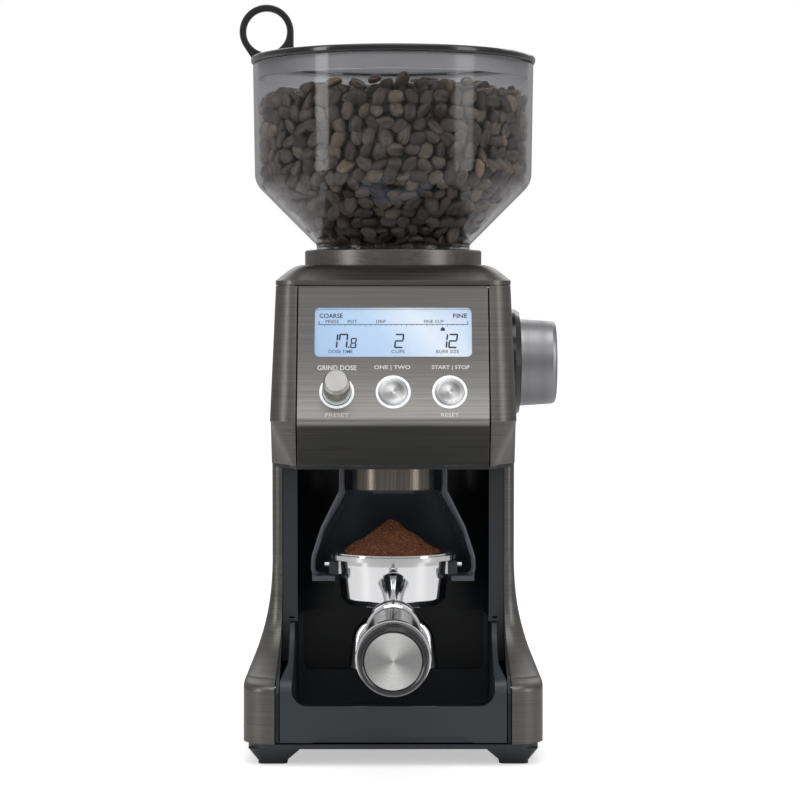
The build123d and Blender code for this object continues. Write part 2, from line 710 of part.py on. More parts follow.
with BuildPart() as grind_chamber:
    add(extrude(Plane.XY.offset(GEARBOX_TOP) * train_outline(GEARBOX_WALL), amount=3, mode=Mode.PRIVATE))
    with BuildSketch(Plane.XY.offset(GEARBOX_TOP)):
        Circle(BEARING_R + 2)
    extrude(amount=11.5)
    with BuildSketch(Plane.XY.offset(GEARBOX_TOP + 2.5)):
        with Locations(*CHAMBER_LEGS):
            Circle(4)
    extrude(amount=9)
    with BuildSketch(Plane.XY.offset(CHAMBER_FLOOR - 3)):
        Circle(CHAMBER_R)
    extrude(amount=40)
    with BuildSketch(Plane.XY.offset(CHAMBER_FLOOR)):
        Circle(CHAMBER_R - 2.5)
    extrude(amount=40, mode=Mode.SUBTRACT)
    with BuildSketch(Plane.XZ.offset(30)):
        with Locations((0, 202.7)):
            Rectangle(18, 6.6)
    extrude(amount=10, mode=Mode.SUBTRACT)
    with BuildSketch(Plane.XY.offset(GEARBOX_TOP - 1)):
        Circle(BEARING_R + RUN_FIT)
    extrude(amount=9, mode=Mode.SUBTRACT)
    with BuildSketch(Plane.XY.offset(GEARBOX_TOP - 1)):
        Circle(SHAFT_R + 1)
    extrude(amount=20, mode=Mode.SUBTRACT)
    with BuildSketch(Plane.XY.offset(GEARBOX_TOP - 1)):
        with Locations(IDLER_XY):
            Circle(2.55)
    extrude(amount=2.7, mode=Mode.SUBTRACT)
    with BuildSketch(Plane.XY.offset(GEARBOX_TOP - 1)):
        with Locations((41, 0)):
            Rectangle(6, 22)
    extrude(amount=5, mode=Mode.SUBTRACT)

with BuildPart() as shaft_bearings:
    for z in (155, 187):
        with BuildSketch(Plane.XY.offset(z)):
            Circle(BEARING_R)
            Circle(SHAFT_R + RUN_FIT, mode=Mode.SUBTRACT)
        extrude(amount=6)
        with BuildSketch(Plane.XY.offset(z)):
            Circle(9.4)
            Circle(6.8, mode=Mode.SUBTRACT)
        extrude(amount=0.5, mode=Mode.SUBTRACT)

with BuildPart() as motor_can:
    with BuildSketch(Plane.XY.offset(85)):
        with Locations(MOTOR_XY):
            Circle(26)
    extrude(amount=GEARBOX_BOTTOM - 0.1 - 85)
    fillet(motor_can.faces().sort_by(Axis.Z)[0].edges(), 3)
    with BuildSketch(Plane.XY.offset(87)):
        with Locations(MOTOR_XY):
            Circle(24)
    extrude(amount=69, mode=Mode.SUBTRACT)
    with BuildSketch(Plane.XY.offset(80)):
        with Locations(MOTOR_XY):
            Circle(2.56)
    extrude(amount=100, mode=Mode.SUBTRACT)

with BuildPart() as motor_rotor:
    with BuildSketch(Plane.XY.offset(84)):
        with Locations(MOTOR_XY):
            Circle(2.5)
    extrude(amount=100)
    with BuildSketch(Plane.XY.offset(102)):
        with Locations(MOTOR_XY):
            Circle(18)
            with PolarLocations(18, 12):
                Rectangle(9, 1.6, mode=Mode.SUBTRACT)
    extrude(amount=40)
    with BuildSketch(Plane.XY.offset(92)):
        with Locations(MOTOR_XY):
            Circle(9)
    extrude(amount=10)
    with BuildSketch(gear_plane(*MOTOR_XY, 176, MOTOR_ANGLE + 180 + 180 / MOTOR_TEETH)):
        add(gear_sketch(MOTOR_MODULE, MOTOR_TEETH))
    extrude(amount=7)

with BuildPart() as idler_axle:
    with BuildSketch(Plane.XY.offset(GEARBOX_BOTTOM)):
        with Locations(IDLER_XY):
            Circle(2.5)
    extrude(amount=GEARBOX_TOP + 1.6 - GEARBOX_BOTTOM)

with BuildPart() as idler_gear:
    with BuildSketch(gear_plane(*IDLER_XY, 165, IDLER_ANGLE + 180 + 180 / IDLER_SMALL_TEETH)):
        add(gear_sketch(BURR_MODULE, IDLER_SMALL_TEETH))
    extrude(amount=12.2)
    with BuildSketch(gear_plane(*IDLER_XY, 177, MOTOR_ANGLE)):
        add(gear_sketch(MOTOR_MODULE, IDLER_BIG_TEETH))
    extrude(amount=5)
    with BuildSketch(Plane.XY.offset(160)):
        with Locations(IDLER_XY):
            Circle(2.5 + RUN_FIT)
    extrude(amount=30, mode=Mode.SUBTRACT)

with BuildPart() as burr_gear:
    with BuildSketch(gear_plane(0, 0, 166, IDLER_ANGLE)):
        add(gear_sketch(BURR_MODULE, BURR_TEETH))
        with PolarLocations(20, 6):
            Circle(6, mode=Mode.SUBTRACT)
    extrude(amount=8)
    with BuildSketch(Plane.XY.offset(164)):
        Circle(9)
    extrude(amount=12)
    with BuildSketch(Plane.XY.offset(160)):
        Circle(SHAFT_R + 0.02)
    extrude(amount=20, mode=Mode.SUBTRACT)

with BuildPart() as burr_shaft:
    with BuildSketch(Plane.XY.offset(155.2)):
        Circle(SHAFT_R)
    extrude(amount=84)
    chamfer(burr_shaft.faces().sort_by(Axis.Z)[-1].edges(), 0.8)

# ---------------------------------------------------------------- burrs
LOWER_BURR_Z = (209.0, 233.0)
LOWER_BURR_R = (19.5, 9.0)
BURR_GAP = 0.7
BURR_SLOPE = (LOWER_BURR_R[0] - LOWER_BURR_R[1]) / (LOWER_BURR_Z[1] - LOWER_BURR_Z[0])
UPPER_BURR_Z = (209.5, 225.0)

with BuildPart() as impeller:
    with BuildSketch(Plane.XY.offset(199.6)):
        Circle(30)
    extrude(amount=1.6)
    with BuildSketch(Plane.XY.offset(201)):
        Circle(8)
        with PolarLocations(22, 6):
            Rectangle(15, 1.8)
    extrude(amount=6)
    with BuildSketch(Plane.XY.offset(207)):
        Circle(8)
    extrude(amount=1.8)
    with BuildSketch(Plane.XY.offset(199)):
        Circle(SHAFT_R + 0.02)
    extrude(amount=12, mode=Mode.SUBTRACT)

with BuildPart() as lower_burr:
    with BuildSketch(Plane.XY.offset(LOWER_BURR_Z[0])):
        Circle(LOWER_BURR_R[0])
    with BuildSketch(Plane.XY.offset(LOWER_BURR_Z[1])):
        Circle(LOWER_BURR_R[1])
    loft()
    for blade in range(9):
        plane = Plane.XZ.rotated((0, 0, 40 * blade)).offset(-1)
        with BuildSketch(plane):
            Polygon((16.5, 208), (21, 208), (21, 213), (9.5, 234), (7.6, 234), align=None)
        extrude(amount=2, mode=Mode.SUBTRACT)
    with BuildSketch(Plane.XY.offset(200)):
        Circle(SHAFT_R + 0.02)
    extrude(amount=40, mode=Mode.SUBTRACT)

with BuildPart() as burr_nut:
    with BuildSketch(Plane.XY.offset(LOWER_BURR_Z[1] + 0.02)):
        RegularPolygon(8, 6)
        Circle(SHAFT_R + 0.02, mode=Mode.SUBTRACT)
    extrude(amount=4.4)

with BuildPart() as upper_burr:
    with BuildSketch(Plane.XZ):
        bottom, top = UPPER_BURR_Z
        r_bottom = LOWER_BURR_R[0] + BURR_GAP - (bottom - LOWER_BURR_Z[0]) * BURR_SLOPE
        r_top = r_bottom + 0.4 - (top - bottom) * BURR_SLOPE
        Polygon((r_bottom, bottom), (24.5, bottom), (24.5, top), (r_top, top), align=None)
    revolve(axis=Axis.Z)
    with BuildSketch(Plane.XY.offset(bottom)):
        with PolarLocations(r_bottom + 1.0, 12):
            Rectangle(2.6, 1.4)
    extrude(amount=20, mode=Mode.SUBTRACT)

with BuildPart() as burr_carrier:
    with BuildSketch(Plane.XZ):
        Polygon((24.7, 209.8), (26.5, 209.8), (26.5, 215), (32.5, 215), (32.5, 238.6), (39, 238.6), (39, 241),
                (26, 241), (24.7, 226), align=None)
    revolve(axis=Axis.Z)
    with BuildSketch(Plane.XY.offset(225.05)):
        Circle(25.5)
        Circle(20.5, mode=Mode.SUBTRACT)
    extrude(amount=1.6)
    with BuildLine(Plane.XY.offset(241.7)) as bail:
        CenterArc((0, 0), 33, 20, 140)
    with BuildSketch(Plane(origin=bail.line @ 0, z_dir=bail.line % 0)):
        Circle(1)
    sweep(path=bail.line)

with BuildPart() as adjusting_ring:
    with BuildSketch(Plane.XY.offset(211)):
        Circle(39)
        Circle(36.5, mode=Mode.SUBTRACT)
    extrude(amount=27)
    with BuildSketch(Plane.XY.offset(210.9)):
        Circle(43.5)
        Circle(36.5, mode=Mode.SUBTRACT)
    extrude(amount=2.6)
    slope = math.tan(math.radians(20))
    half_pitch_tooth = (math.pi * DIAL_MODULE / 2 - 0.35) / 2
    pitch_z = DIAL_Z + DIAL_PITCH_R
    with BuildSketch(Plane.YZ.offset(38.5)) as crown_tooth:
        corners = [(half_pitch_tooth + slope * (z - pitch_z), z) for z in (207.95, 211.2)]
        Polygon(*corners, *[(-y, z) for y, z in reversed(corners)], align=None)
    tooth = extrude(crown_tooth.sketch, amount=4, mode=Mode.PRIVATE)
    for index in range(CROWN_TEETH):
        add(tooth.rotate(Axis.Z, (index + 0.5) * 360 / CROWN_TEETH))

# ---------------------------------------------------------------- grind-size dial
DIAL_X = (67.2, 86.2)
DIAL_R = (23.05, 21.9)
ESCUTCHEON_X = 66.7
X_AXIS = Axis((0, 0, DIAL_Z), (1, 0, 0))


def ring_profile(points):
    """Closed outline in the XZ plane, given as (x, distance from the dial's axis)."""
    Polygon(*[(x, DIAL_Z + r) for x, r in points], align=None)


with BuildPart() as dial_escutcheon:
    with BuildSketch(Plane.XZ):
        ring_profile([
            (50, 4.06), (50, 8.5), (59, 8.5), (59, 28.2), (64.2, 28.2), (ESCUTCHEON_X, 26.6),
            (ESCUTCHEON_X, 4.06),
        ])
    revolve(axis=X_AXIS)

with BuildPart() as grind_size_dial:
    with BuildSketch(Plane.XZ):
        ring_profile([
            (DIAL_X[0], 4.04), (DIAL_X[0], 7.5), (DIAL_X[1] - 3, 7.5), (DIAL_X[1] - 3, 19.4),
            (DIAL_X[0], 20.4), (DIAL_X[0], DIAL_R[0]), (DIAL_X[1] - 2.2, DIAL_R[1]),
            (DIAL_X[1] - 0.7, DIAL_R[1] - 0.6), (DIAL_X[1], DIAL_R[1] - 2.1), (DIAL_X[1], 0),
            (80.1, 0), (80.1, 4.04),
        ])
    revolve(axis=X_AXIS)

with BuildPart() as dial_shaft:
    with BuildSketch(Plane.YZ.offset(36.2)):
        with Locations((0, DIAL_Z)):
            Circle(4)
    extrude(amount=80 - 36.2)
    with BuildSketch(Plane(origin=(38.3, 0, DIAL_Z), x_dir=(0, 0, 1), z_dir=(1, 0, 0))):
        add(gear_sketch(DIAL_MODULE, DIAL_TEETH, backlash=0.3))
    extrude(amount=4.4)

# ---------------------------------------------------------------- cradle
CRADLE_PLANE = Plane.XZ.offset(-OUTLET_Y)
OUTLET_AXIS = Axis((0, OUTLET_Y, 0), (0, 0, 1))
CRADLE_RING = ((26.0, 133.6), (36.8, 114.0), (41.5, 100.0), (42.0, 95.0), (41.6, 89.5))
SHELL_T = 2.0

with BuildPart() as cradle:
    with BuildSketch(CRADLE_PLANE):
        with BuildLine():
            outer = Spline(*CRADLE_RING)
            inner = Spline(*[(r - SHELL_T, z) for r, z in CRADLE_RING])
            Line(outer @ 0, inner @ 0)
            Line(outer @ 1, inner @ 1)
        make_face()
    revolve(axis=OUTLET_AXIS, revolution_arc=180)
    with BuildSketch(Plane.XZ.offset(24)):
        with Locations((0, 101)):
            Rectangle(14, 12)
    extrude(amount=-20, mode=Mode.SUBTRACT)
    for side in (-1, 1):
        with BuildSketch(Plane.XY.offset(88.8)):
            with Locations((side * 35.4, -52)):
                Rectangle(11.6, 24)
        extrude(amount=2.6)
        with BuildSketch(Plane.XY.offset(133)):
            with Locations((side * 26.2, OUTLET_Y)):
                RectangleRounded(3.2, 8, 1)
        extrude(amount=13)
        with BuildLine() as rod:
            FilletPolyline(
                (side * 26.0, OUTLET_Y, 135), (side * 36.2, OUTLET_Y, 114.5), (side * 41.0, OUTLET_Y, 99.5),
                (side * 41.2, OUTLET_Y, 90.4), (side * 31.0, OUTLET_Y, 90.2), radius=(12, 12, 4),
            )
        with BuildSketch(Plane(origin=rod.line @ 0, z_dir=rod.line % 0)):
            Circle(1.3)
        sweep(path=rod.line)
    with BuildSketch(Plane.XY.offset(130.6)):
        with BuildLine():
            Polyline((-12, -27), (-12, 5.2), (12, 5.2), (12, -27), close=True)
        make_face()
        with Locations((0, OUTLET_Y)):
            Circle(25.2, mode=Mode.SUBTRACT)
    extrude(amount=3)

with BuildPart() as cradle_magnets:
    with BuildSketch(Plane.XZ.offset(-5.3)):
        with Locations((-7, 128.4), (7, 128.4)):
            Circle(2)
    extrude(amount=-2.3)

with BuildPart() as switch_plunger:
    with BuildSketch(Plane.XZ.offset(15.4)):
        with Locations((0, PLUNGER_Z)):
            Circle(4)
    extrude(amount=-25.8)
    fillet(switch_plunger.faces().sort_by(Axis.Y)[0].edges(), 1.5)

# ---------------------------------------------------------------- portafilter
RIM_TOP = 102.0
NECK_ROOT = (0, -76.6, 87.0)
NECK_END = (0, -113.0, 72.5)
HANDLE_DROP = math.radians(1.4)
HANDLE = Plane(
    origin=NECK_END, x_dir=(1, 0, 0), z_dir=(0, -math.cos(HANDLE_DROP), -math.sin(HANDLE_DROP))
)


def turned(points):
    """Closed outline about the outlet axis, given as (radius, z)."""
    Polygon(*points, align=None)


with BuildPart() as portafilter_bowl:
    with BuildSketch(CRADLE_PLANE):
        with BuildLine():
            FilletPolyline(
                (0, 76), (24.6, 76), (26.9, 79.2), (28.6, 97), (28.6, 99.6), radius=(1.4, 2.4, 0.5)
            )
            Polyline((28.6, 99.6), (33.3, 99.6), (33.3, RIM_TOP), (27.2, RIM_TOP))
            FilletPolyline((27.2, RIM_TOP), (25.8, 83.8), (22, 78.4), (0, 78.4), radius=(4, 3))
            Line((0, 78.4), (0, 76))
        make_face()
    revolve(axis=OUTLET_AXIS)
    with BuildSketch(Plane.XY.offset(92)):
        with Locations((-29, -54), (29, -54)):
            Rectangle(5.0, 12)
    extrude(amount=6.4)
    with BuildSketch(Plane.XY.offset(90)):
        with Locations((0, OUTLET_Y)):
            Circle(27.3)
    extrude(amount=12, mode=Mode.SUBTRACT)
    with BuildSketch(Plane.YZ.offset(-35)):
        with Locations((-56, 96.6)):
            Circle(1.5)
    extrude(amount=4)
    with BuildSketch(Plane.YZ.offset(31)):
        with Locations((-56, 96.6)):
            Circle(1.5)
    extrude(amount=4)
    neck_dir = Vector(*NECK_END) - Vector(*NECK_ROOT)
    neck_len = neck_dir.length
    with BuildSketch(Plane(origin=NECK_ROOT, x_dir=neck_dir, z_dir=(1, 0, 0))):
        with BuildLine():
            Polyline((0, 8.0), (0, 0), (neck_len + 4, 0), (neck_len + 4, 7.4))
            Spline((neck_len + 4, 7.4), (neck_len * 0.75, 5.6), (neck_len * 0.4, 5.2), (0, 8.0))
        make_face()
    revolve(axis=Axis(NECK_ROOT, neck_dir))
    split(bisect_by=HANDLE, keep=Keep.BOTTOM)
    with BuildSketch(Plane.XY.offset(60)):
        with Locations((0, OUTLET_Y)):
            Circle(4)
    extrude(amount=20, mode=Mode.SUBTRACT)

with BuildPart() as filter_basket:
    with BuildSketch(CRADLE_PLANE):
        turned([(0, 82), (23.4, 82), (24.5, 83.1), (26.4, RIM_TOP + 0.1), (31, RIM_TOP + 0.1),
                (31, RIM_TOP + 0.9), (25.6, RIM_TOP + 0.9), (23.8, 83.6), (23.1, 82.8), (0, 82.8)])
    revolve(axis=OUTLET_AXIS)

with BuildPart() as ground_coffee:
    with BuildSketch(CRADLE_PLANE):
        with BuildLine():
            Polyline((0, 121.5), (0, 82.9), (23.0, 82.9), (23.7, 84), (25.4, RIM_TOP + 1))
            Spline((25.4, RIM_TOP + 1), (20, 107), (12, 113.5), (4.5, 120.2), (0, 121.5))
        make_face()
    revolve(axis=OUTLET_AXIS)

SPOUT_BORE = 3.4
SPOUT_X, SPOUT_TIP_Z = 17.7, 42.5
with BuildPart() as spout:
    with BuildSketch(Plane.XY.offset(64)):
        with Locations((0, OUTLET_Y)):
            Circle(9)
    extrude(amount=11.9)
    for side in (-1, 1):
        with BuildLine() as tube_path:
            FilletPolyline(
                (side * 2, OUTLET_Y, 70), (side * 15.4, OUTLET_Y, 60.5),
                (side * SPOUT_X, OUTLET_Y, SPOUT_TIP_Z), radius=9,
            )
        with BuildSketch(Plane(origin=tube_path.line @ 0, z_dir=tube_path.line % 0)):
            Circle(5.2)
        sweep(path=tube_path.line)
    with BuildSketch(Plane.XY.offset(SPOUT_TIP_Z - 1)):
        with Locations((-SPOUT_X, OUTLET_Y), (SPOUT_X, OUTLET_Y)):
            Circle(SPOUT_BORE)
    extrude(amount=12, mode=Mode.SUBTRACT)
    with BuildSketch(Plane.XY.offset(70)):
        with Locations((0, OUTLET_Y)):
            Circle(4)
    extrude(amount=10, mode=Mode.SUBTRACT)


def handle_turned(points):
    """Revolve a closed outline about the handle's axis, given as (distance along it, radius)."""
    with BuildPart() as turned_part:
        with BuildSketch(Plane(origin=HANDLE.origin, x_dir=HANDLE.z_dir, z_dir=HANDLE.x_dir)):
            Polygon(*points, align=None)
        revolve(axis=Axis(HANDLE.origin, HANDLE.z_dir))
    return turned_part.part


with BuildPart() as handle_collar:
    add(handle_turned([(0.05, 0), (0.05, 11.6), (0.8, 12.6), (3.4, 12.6), (3.95, 12.2), (3.95, 0)]))

with BuildPart() as handle_ferrule:
    add(handle_turned([
        (4, 0), (4, 11.4), (5.2, 12.2), (14, 13.1), (24.6, 13.6), (25.95, 12.6), (25.95, 0),
    ]))

with BuildPart() as handle_grip:
    add(handle_turned([
        (26, 0), (26, 11.8), (28, 12.6), (60, 14.0), (88, 15.6), (95.9, 16.2), (95.9, 15.2), (101.1, 15.2),
        (101.1, 16.3), (107.5, 16.3), (109.4, 15.4), (110, 14.2), (109.4, 13.4), (108.6, 13.3), (108.6, 0),
    ]))

with BuildPart() as handle_band:
    add(handle_turned([(96, 15.25), (96, 16.6), (96.8, 17.1), (100.2, 17.1), (101, 16.6), (101, 15.25)]))

with BuildPart() as handle_cap:
    add(handle_turned([(108.65, 0), (108.65, 13.2), (109.3, 13.2), (109.7, 12.9), (109.7, 0)]))

# ---------------------------------------------------------------- grinds tray
TRAY_HALF, TRAY_ARM_HALF = 56.3, 53.0
TRAY_IN_HALF = 50.5
TRAY_BOTTOM, TRAY_FLOOR = 12.0, 15.0
TRAY_FRONT_Y, TRAY_BACK_Y = -99.0, 5.0
ARM_TOP = 66.0
FINGER_HALF, FINGER_TOP, FINGER_DEPTH = 41.0, 14.8, 1.6     # the pull under the tray's front edge

with BuildPart() as grinds_tray:
    with BuildSketch(Plane.YZ.offset(-60)):
        with BuildLine():
            edge = Spline(*c_curve(1.2, (43.0, 48, 54, 60)), (-54.2, ARM_TOP))
            Polyline(edge @ 1, (TRAY_BACK_Y, ARM_TOP), (TRAY_BACK_Y, TRAY_BOTTOM),
                     (TRAY_FRONT_Y, TRAY_BOTTOM), (TRAY_FRONT_Y, 37.0))
            RadiusArc((TRAY_FRONT_Y, 37.0), edge @ 0, 9)
        make_face()
    extrude(amount=120)
    with BuildSketch(Plane.XZ.offset(-TRAY_BACK_Y - 1)):
        Polygon(
            (TRAY_HALF, TRAY_BOTTOM - 1), (TRAY_HALF, 42), (TRAY_ARM_HALF, 48), (TRAY_ARM_HALF, 70),
            (-TRAY_ARM_HALF, 70), (-TRAY_ARM_HALF, 48), (-TRAY_HALF, 42), (-TRAY_HALF, TRAY_BOTTOM - 1),
            align=None,
        )
    extrude(amount=110, mode=Mode.INTERSECT)
    for side in (-1, 1):
        with BuildSketch(Plane.XY.offset(TRAY_BOTTOM - 1)):
            with Locations((side * (TRAY_ARM_HALF + 5), -20)):
                Rectangle(10, 64)
        extrude(amount=50, mode=Mode.SUBTRACT)
    with BuildSketch(Plane.XZ.offset(-TRAY_BACK_Y + 2.5)):
        with Locations((0, TRAY_FLOOR + 30)):
            RectangleRounded(2 * TRAY_IN_HALF, 60, 3)
    extrude(amount=TRAY_BACK_Y - 2.5 - TRAY_FRONT_Y - 2.6, mode=Mode.SUBTRACT)
    with BuildSketch(Plane.XZ.offset(90)):
        with Locations((0, 30 + 25)):
            RectangleRounded(2 * TRAY_IN_HALF, 50, 8)
    extrude(amount=12, mode=Mode.SUBTRACT)
    with BuildSketch(Plane.XZ.offset(-TRAY_BACK_Y - 1)):
        with Locations((0, 34 + 25)):
            RectangleRounded(2 * 48, 50, 4)
    extrude(amount=8, mode=Mode.SUBTRACT)
    with BuildSketch(Plane.XZ.offset(-TRAY_FRONT_Y + 1)):
        Polygon(
            (-FINGER_HALF, TRAY_BOTTOM - 1), (-FINGER_HALF + 4.5, FINGER_TOP), (FINGER_HALF - 4.5, FINGER_TOP),
            (FINGER_HALF, TRAY_BOTTOM - 1), align=None,
        )
    extrude(amount=-FINGER_DEPTH - 1, mode=Mode.SUBTRACT)

# ---------------------------------------------------------------- hopper
NECK_R = 38.4


def profile_about_z(points):
    """Closed outline about the burr axis, given as (radius, z)."""
    Polygon(*points, align=None)


with BuildPart() as hopper_shell:
    with BuildSketch(Plane.XZ):
        with BuildLine():
            FilletPolyline(
                (36.4, HOPPER_FOOT), (NECK_R, HOPPER_FOOT), (NECK_R, 252), (40.6, 252), (40.6, CONE_Z),
                (73.2, CONE_Z + 32.7), (74.2, RIM_Z), (72.0, RIM_Z), (71.0, CONE_Z + 33.6),
                (36.4, CONE_Z - 1.2), radius=(0.4, 0.4, 0.4, 2, 12, 0.5, 0.5, 10),
            )
            Line((36.4, CONE_Z - 1.2), (36.4, HOPPER_FOOT))
        make_face()
    revolve(axis=Axis.Z)

BASE_R = 36.0
GATE_Z = 249.4
KNOB_TOP = 275.0


def bean_ports(radius, count=3):
    """Sector openings that line up when the hopper is unlocked for grinding."""
    with BuildSketch() as ports:
        for index in range(count):
            middle = index * 360 / count
            with BuildLine():
                CenterArc((0, 0), radius, middle - 30, 60)
                CenterArc((0, 0), 12, middle - 30, 60)
                for angle in (middle - 30, middle + 30):
                    Line(polar(12, angle), polar(radius, angle))
            make_face()
    return ports.sketch


with BuildPart() as hopper_base:
    with BuildSketch(Plane.XY.offset(HOPPER_FOOT + 0.4)):
        Circle(BASE_R)
        add(bean_ports(31), mode=Mode.SUBTRACT)
    extrude(amount=2.6)

with BuildPart() as lock_knob:
    with BuildSketch(Plane.XY.offset(GATE_Z)):
        Circle(BASE_R - 0.4)
        add(bean_ports(31), mode=Mode.SUBTRACT)
    extrude(amount=1.6)
    with BuildSketch(Plane.XY.offset(GATE_Z)):
        Circle(11)
    extrude(amount=12)
    with BuildSketch(Plane.XY.offset(GATE_Z + 11.9)):
        Circle(18)
    with BuildSketch(Plane.XY.offset(KNOB_TOP)):
        Circle(16)
    loft()
    fillet(lock_knob.faces().sort_by(Axis.Z)[-1].edges(), 1.5)
    with BuildSketch(Plane.XY.offset(KNOB_TOP - 6)):
        with Locations((0, 11.5), (0, -11.5)):
            RectangleRounded(40, 14, 3)
    extrude(amount=8, mode=Mode.SUBTRACT)

with BuildPart() as bean_charge:
    with BuildSketch(Plane.XZ):
        profile_about_z([
            (20, 251.4), (36.0, 251.4), (36.0, CONE_Z - 0.4), (67.8, CONE_Z + 31.6), (70.2, CONE_Z + 38),
            (70.8, 340), (0, 340),
            (0, KNOB_TOP + 2.4), (20, KNOB_TOP + 2.4),
        ])
    revolve(axis=Axis.Z)

# ---------------------------------------------------------------- lid
LID_R = 75.2
FINGER_X, FINGER_Z = -67.0, 373.5
FINGER_IN, FINGER_OUT = 10.8, 14.3
FINGER_HALF_T = 2.2

with BuildPart() as lid_rim:
    with BuildSketch(Plane.XY.offset(LID_Z)):
        Circle(LID_R)
        Circle(66.0, mode=Mode.SUBTRACT)
    extrude(amount=LID_TOP - LID_Z)
    fillet(lid_rim.edges().filter_by(GeomType.CIRCLE).group_by(SortBy.RADIUS)[-1], 1.4)
    with BuildSketch(Plane.XZ):
        with Locations((FINGER_X, FINGER_Z)):
            Circle(FINGER_OUT)
        with Locations((-63.6, 359.4)):
            Rectangle(21.8, 1.0)
        make_hull()
        with Locations((FINGER_X, FINGER_Z)):
            Circle(FINGER_IN, mode=Mode.SUBTRACT)
    extrude(amount=FINGER_HALF_T, both=True)
    ring_edges = lid_rim.edges().filter_by(GeomType.CIRCLE).filter_by(
        lambda edge: abs(edge.radius - FINGER_OUT) < 0.01 or abs(edge.radius - FINGER_IN) < 0.01
    )
    fillet(ring_edges, 0.8)

with BuildPart() as lid_window:
    with BuildSketch(Plane.XY.offset(LID_Z + 0.6)):
        Circle(65.9)
    extrude(amount=2)

with BuildPart() as lid_seal:
    with BuildSketch(Plane.XY.offset(348)):
        Circle(71.5)
        Circle(69.2, mode=Mode.SUBTRACT)
    extrude(amount=LID_Z - 348)

# ---------------------------------------------------------------- output
PIECES = {
    "base_frame": base_frame, "foot_pads": foot_pads, "right_side_panel": right_side_panel,
    "left_side_panel": left_side_panel, "rear_cover": rear_cover, "case_screws": case_screws,
    "cord_gland": cord_gland, "front_panel": front_panel, "top_cover": top_cover,
    "cavity_liner": cavity_liner, "outlet_chute": outlet_chute, "outlet_trim": outlet_trim,
    "display_window": display_window, "display_panel": display_panel,
    "control_board": control_board, "light_rings": light_rings, "shots_button": shots_button,
    "start_button": start_button, "encoder_plunger": encoder_plunger,
    "amount_knob": amount_knob, "power_board": power_board, "microswitches": microswitches,
    "gearbox_base": gearbox_base, "grind_chamber": grind_chamber,
    "shaft_bearings": shaft_bearings, "motor_can": motor_can, "motor_rotor": motor_rotor,
    "idler_axle": idler_axle, "idler_gear": idler_gear,
    "burr_gear": burr_gear, "burr_shaft": burr_shaft, "impeller": impeller,
    "lower_burr": lower_burr, "burr_nut": burr_nut, "upper_burr": upper_burr,
    "burr_carrier": burr_carrier,
    "adjusting_ring": adjusting_ring, "dial_escutcheon": dial_escutcheon,
    "grind_size_dial": grind_size_dial, "dial_shaft": dial_shaft, "cradle": cradle,
    "cradle_magnets": cradle_magnets, "switch_plunger": switch_plunger,
    "portafilter_bowl": portafilter_bowl, "filter_basket": filter_basket,
    "ground_coffee": ground_coffee, "spout": spout, "handle_collar": handle_collar,
    "handle_ferrule": handle_ferrule, "handle_grip": handle_grip, "handle_band": handle_band,
    "handle_cap": handle_cap, "grinds_tray": grinds_tray, "hopper_shell": hopper_shell,
    "hopper_base": hopper_base, "lock_knob": lock_knob, "bean_charge": bean_charge,
    "lid_rim": lid_rim, "lid_window": lid_window, "lid_seal": lid_seal,
}
for name, piece in PIECES.items():
    piece.part.label = name
    export_step(piece.part, f"parts/{name}.step")
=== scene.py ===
"""Looks of the burr coffee grinder: materials, beans, grounds, printed marks, studio light and camera."""

import math
import random

import bpy
from mathutils import Euler, Matrix, Vector, noise


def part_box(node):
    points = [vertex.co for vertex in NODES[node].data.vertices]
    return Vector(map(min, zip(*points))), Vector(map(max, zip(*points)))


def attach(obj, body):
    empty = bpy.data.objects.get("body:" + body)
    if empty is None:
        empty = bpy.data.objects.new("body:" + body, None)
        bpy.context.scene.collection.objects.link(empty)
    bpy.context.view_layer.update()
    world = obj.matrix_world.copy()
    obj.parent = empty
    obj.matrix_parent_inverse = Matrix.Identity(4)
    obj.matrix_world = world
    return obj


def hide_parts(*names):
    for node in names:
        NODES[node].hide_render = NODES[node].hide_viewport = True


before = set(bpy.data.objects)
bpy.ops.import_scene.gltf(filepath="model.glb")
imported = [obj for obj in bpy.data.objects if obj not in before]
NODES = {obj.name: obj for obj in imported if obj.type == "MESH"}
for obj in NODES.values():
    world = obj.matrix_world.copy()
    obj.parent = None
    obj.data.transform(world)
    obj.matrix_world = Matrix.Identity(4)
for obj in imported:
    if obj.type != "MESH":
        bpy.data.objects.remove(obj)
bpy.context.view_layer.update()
MM = 0.001


def mm(*values):
    """A point given in millimetres, as metres."""
    return Vector(values) * MM


# ---------------------------------------------------------------- places taken from the frame
PANEL_TOP = mm(0, -57.0, 239.2)      # the control panel's upper edge, on its face
PANEL_CREASE = mm(0, -85.0, 170.9)   # its lower edge, where it bends back to the chin
PANEL_DOWN = (PANEL_CREASE - PANEL_TOP).normalized()
PANEL_OUT = PANEL_DOWN.cross(Vector((1, 0, 0))).normalized()
CONTROL_V = 58.2              # how far down the panel the knob and buttons sit
CONTROL_X = 28.3              # and how far the outer two are from its middle
HANDLE_START = mm(0, -113.0, 72.5)
HANDLE_DROOP = math.radians(1.4)
HANDLE_AXIS = Vector((0, -math.cos(HANDLE_DROOP), -math.sin(HANDLE_DROOP)))
DIAL_CENTRE = mm(86.2, 0, 198.5)
OUTLET = mm(0, -50.0, 102.0)


def on_panel(x, v, height=0.0):
    """A point on the control panel: x across, v down the slope and height above it, in millimetres."""
    return PANEL_TOP + Vector((x * MM, 0, 0)) + PANEL_DOWN * (v * MM) + PANEL_OUT * (height * MM)


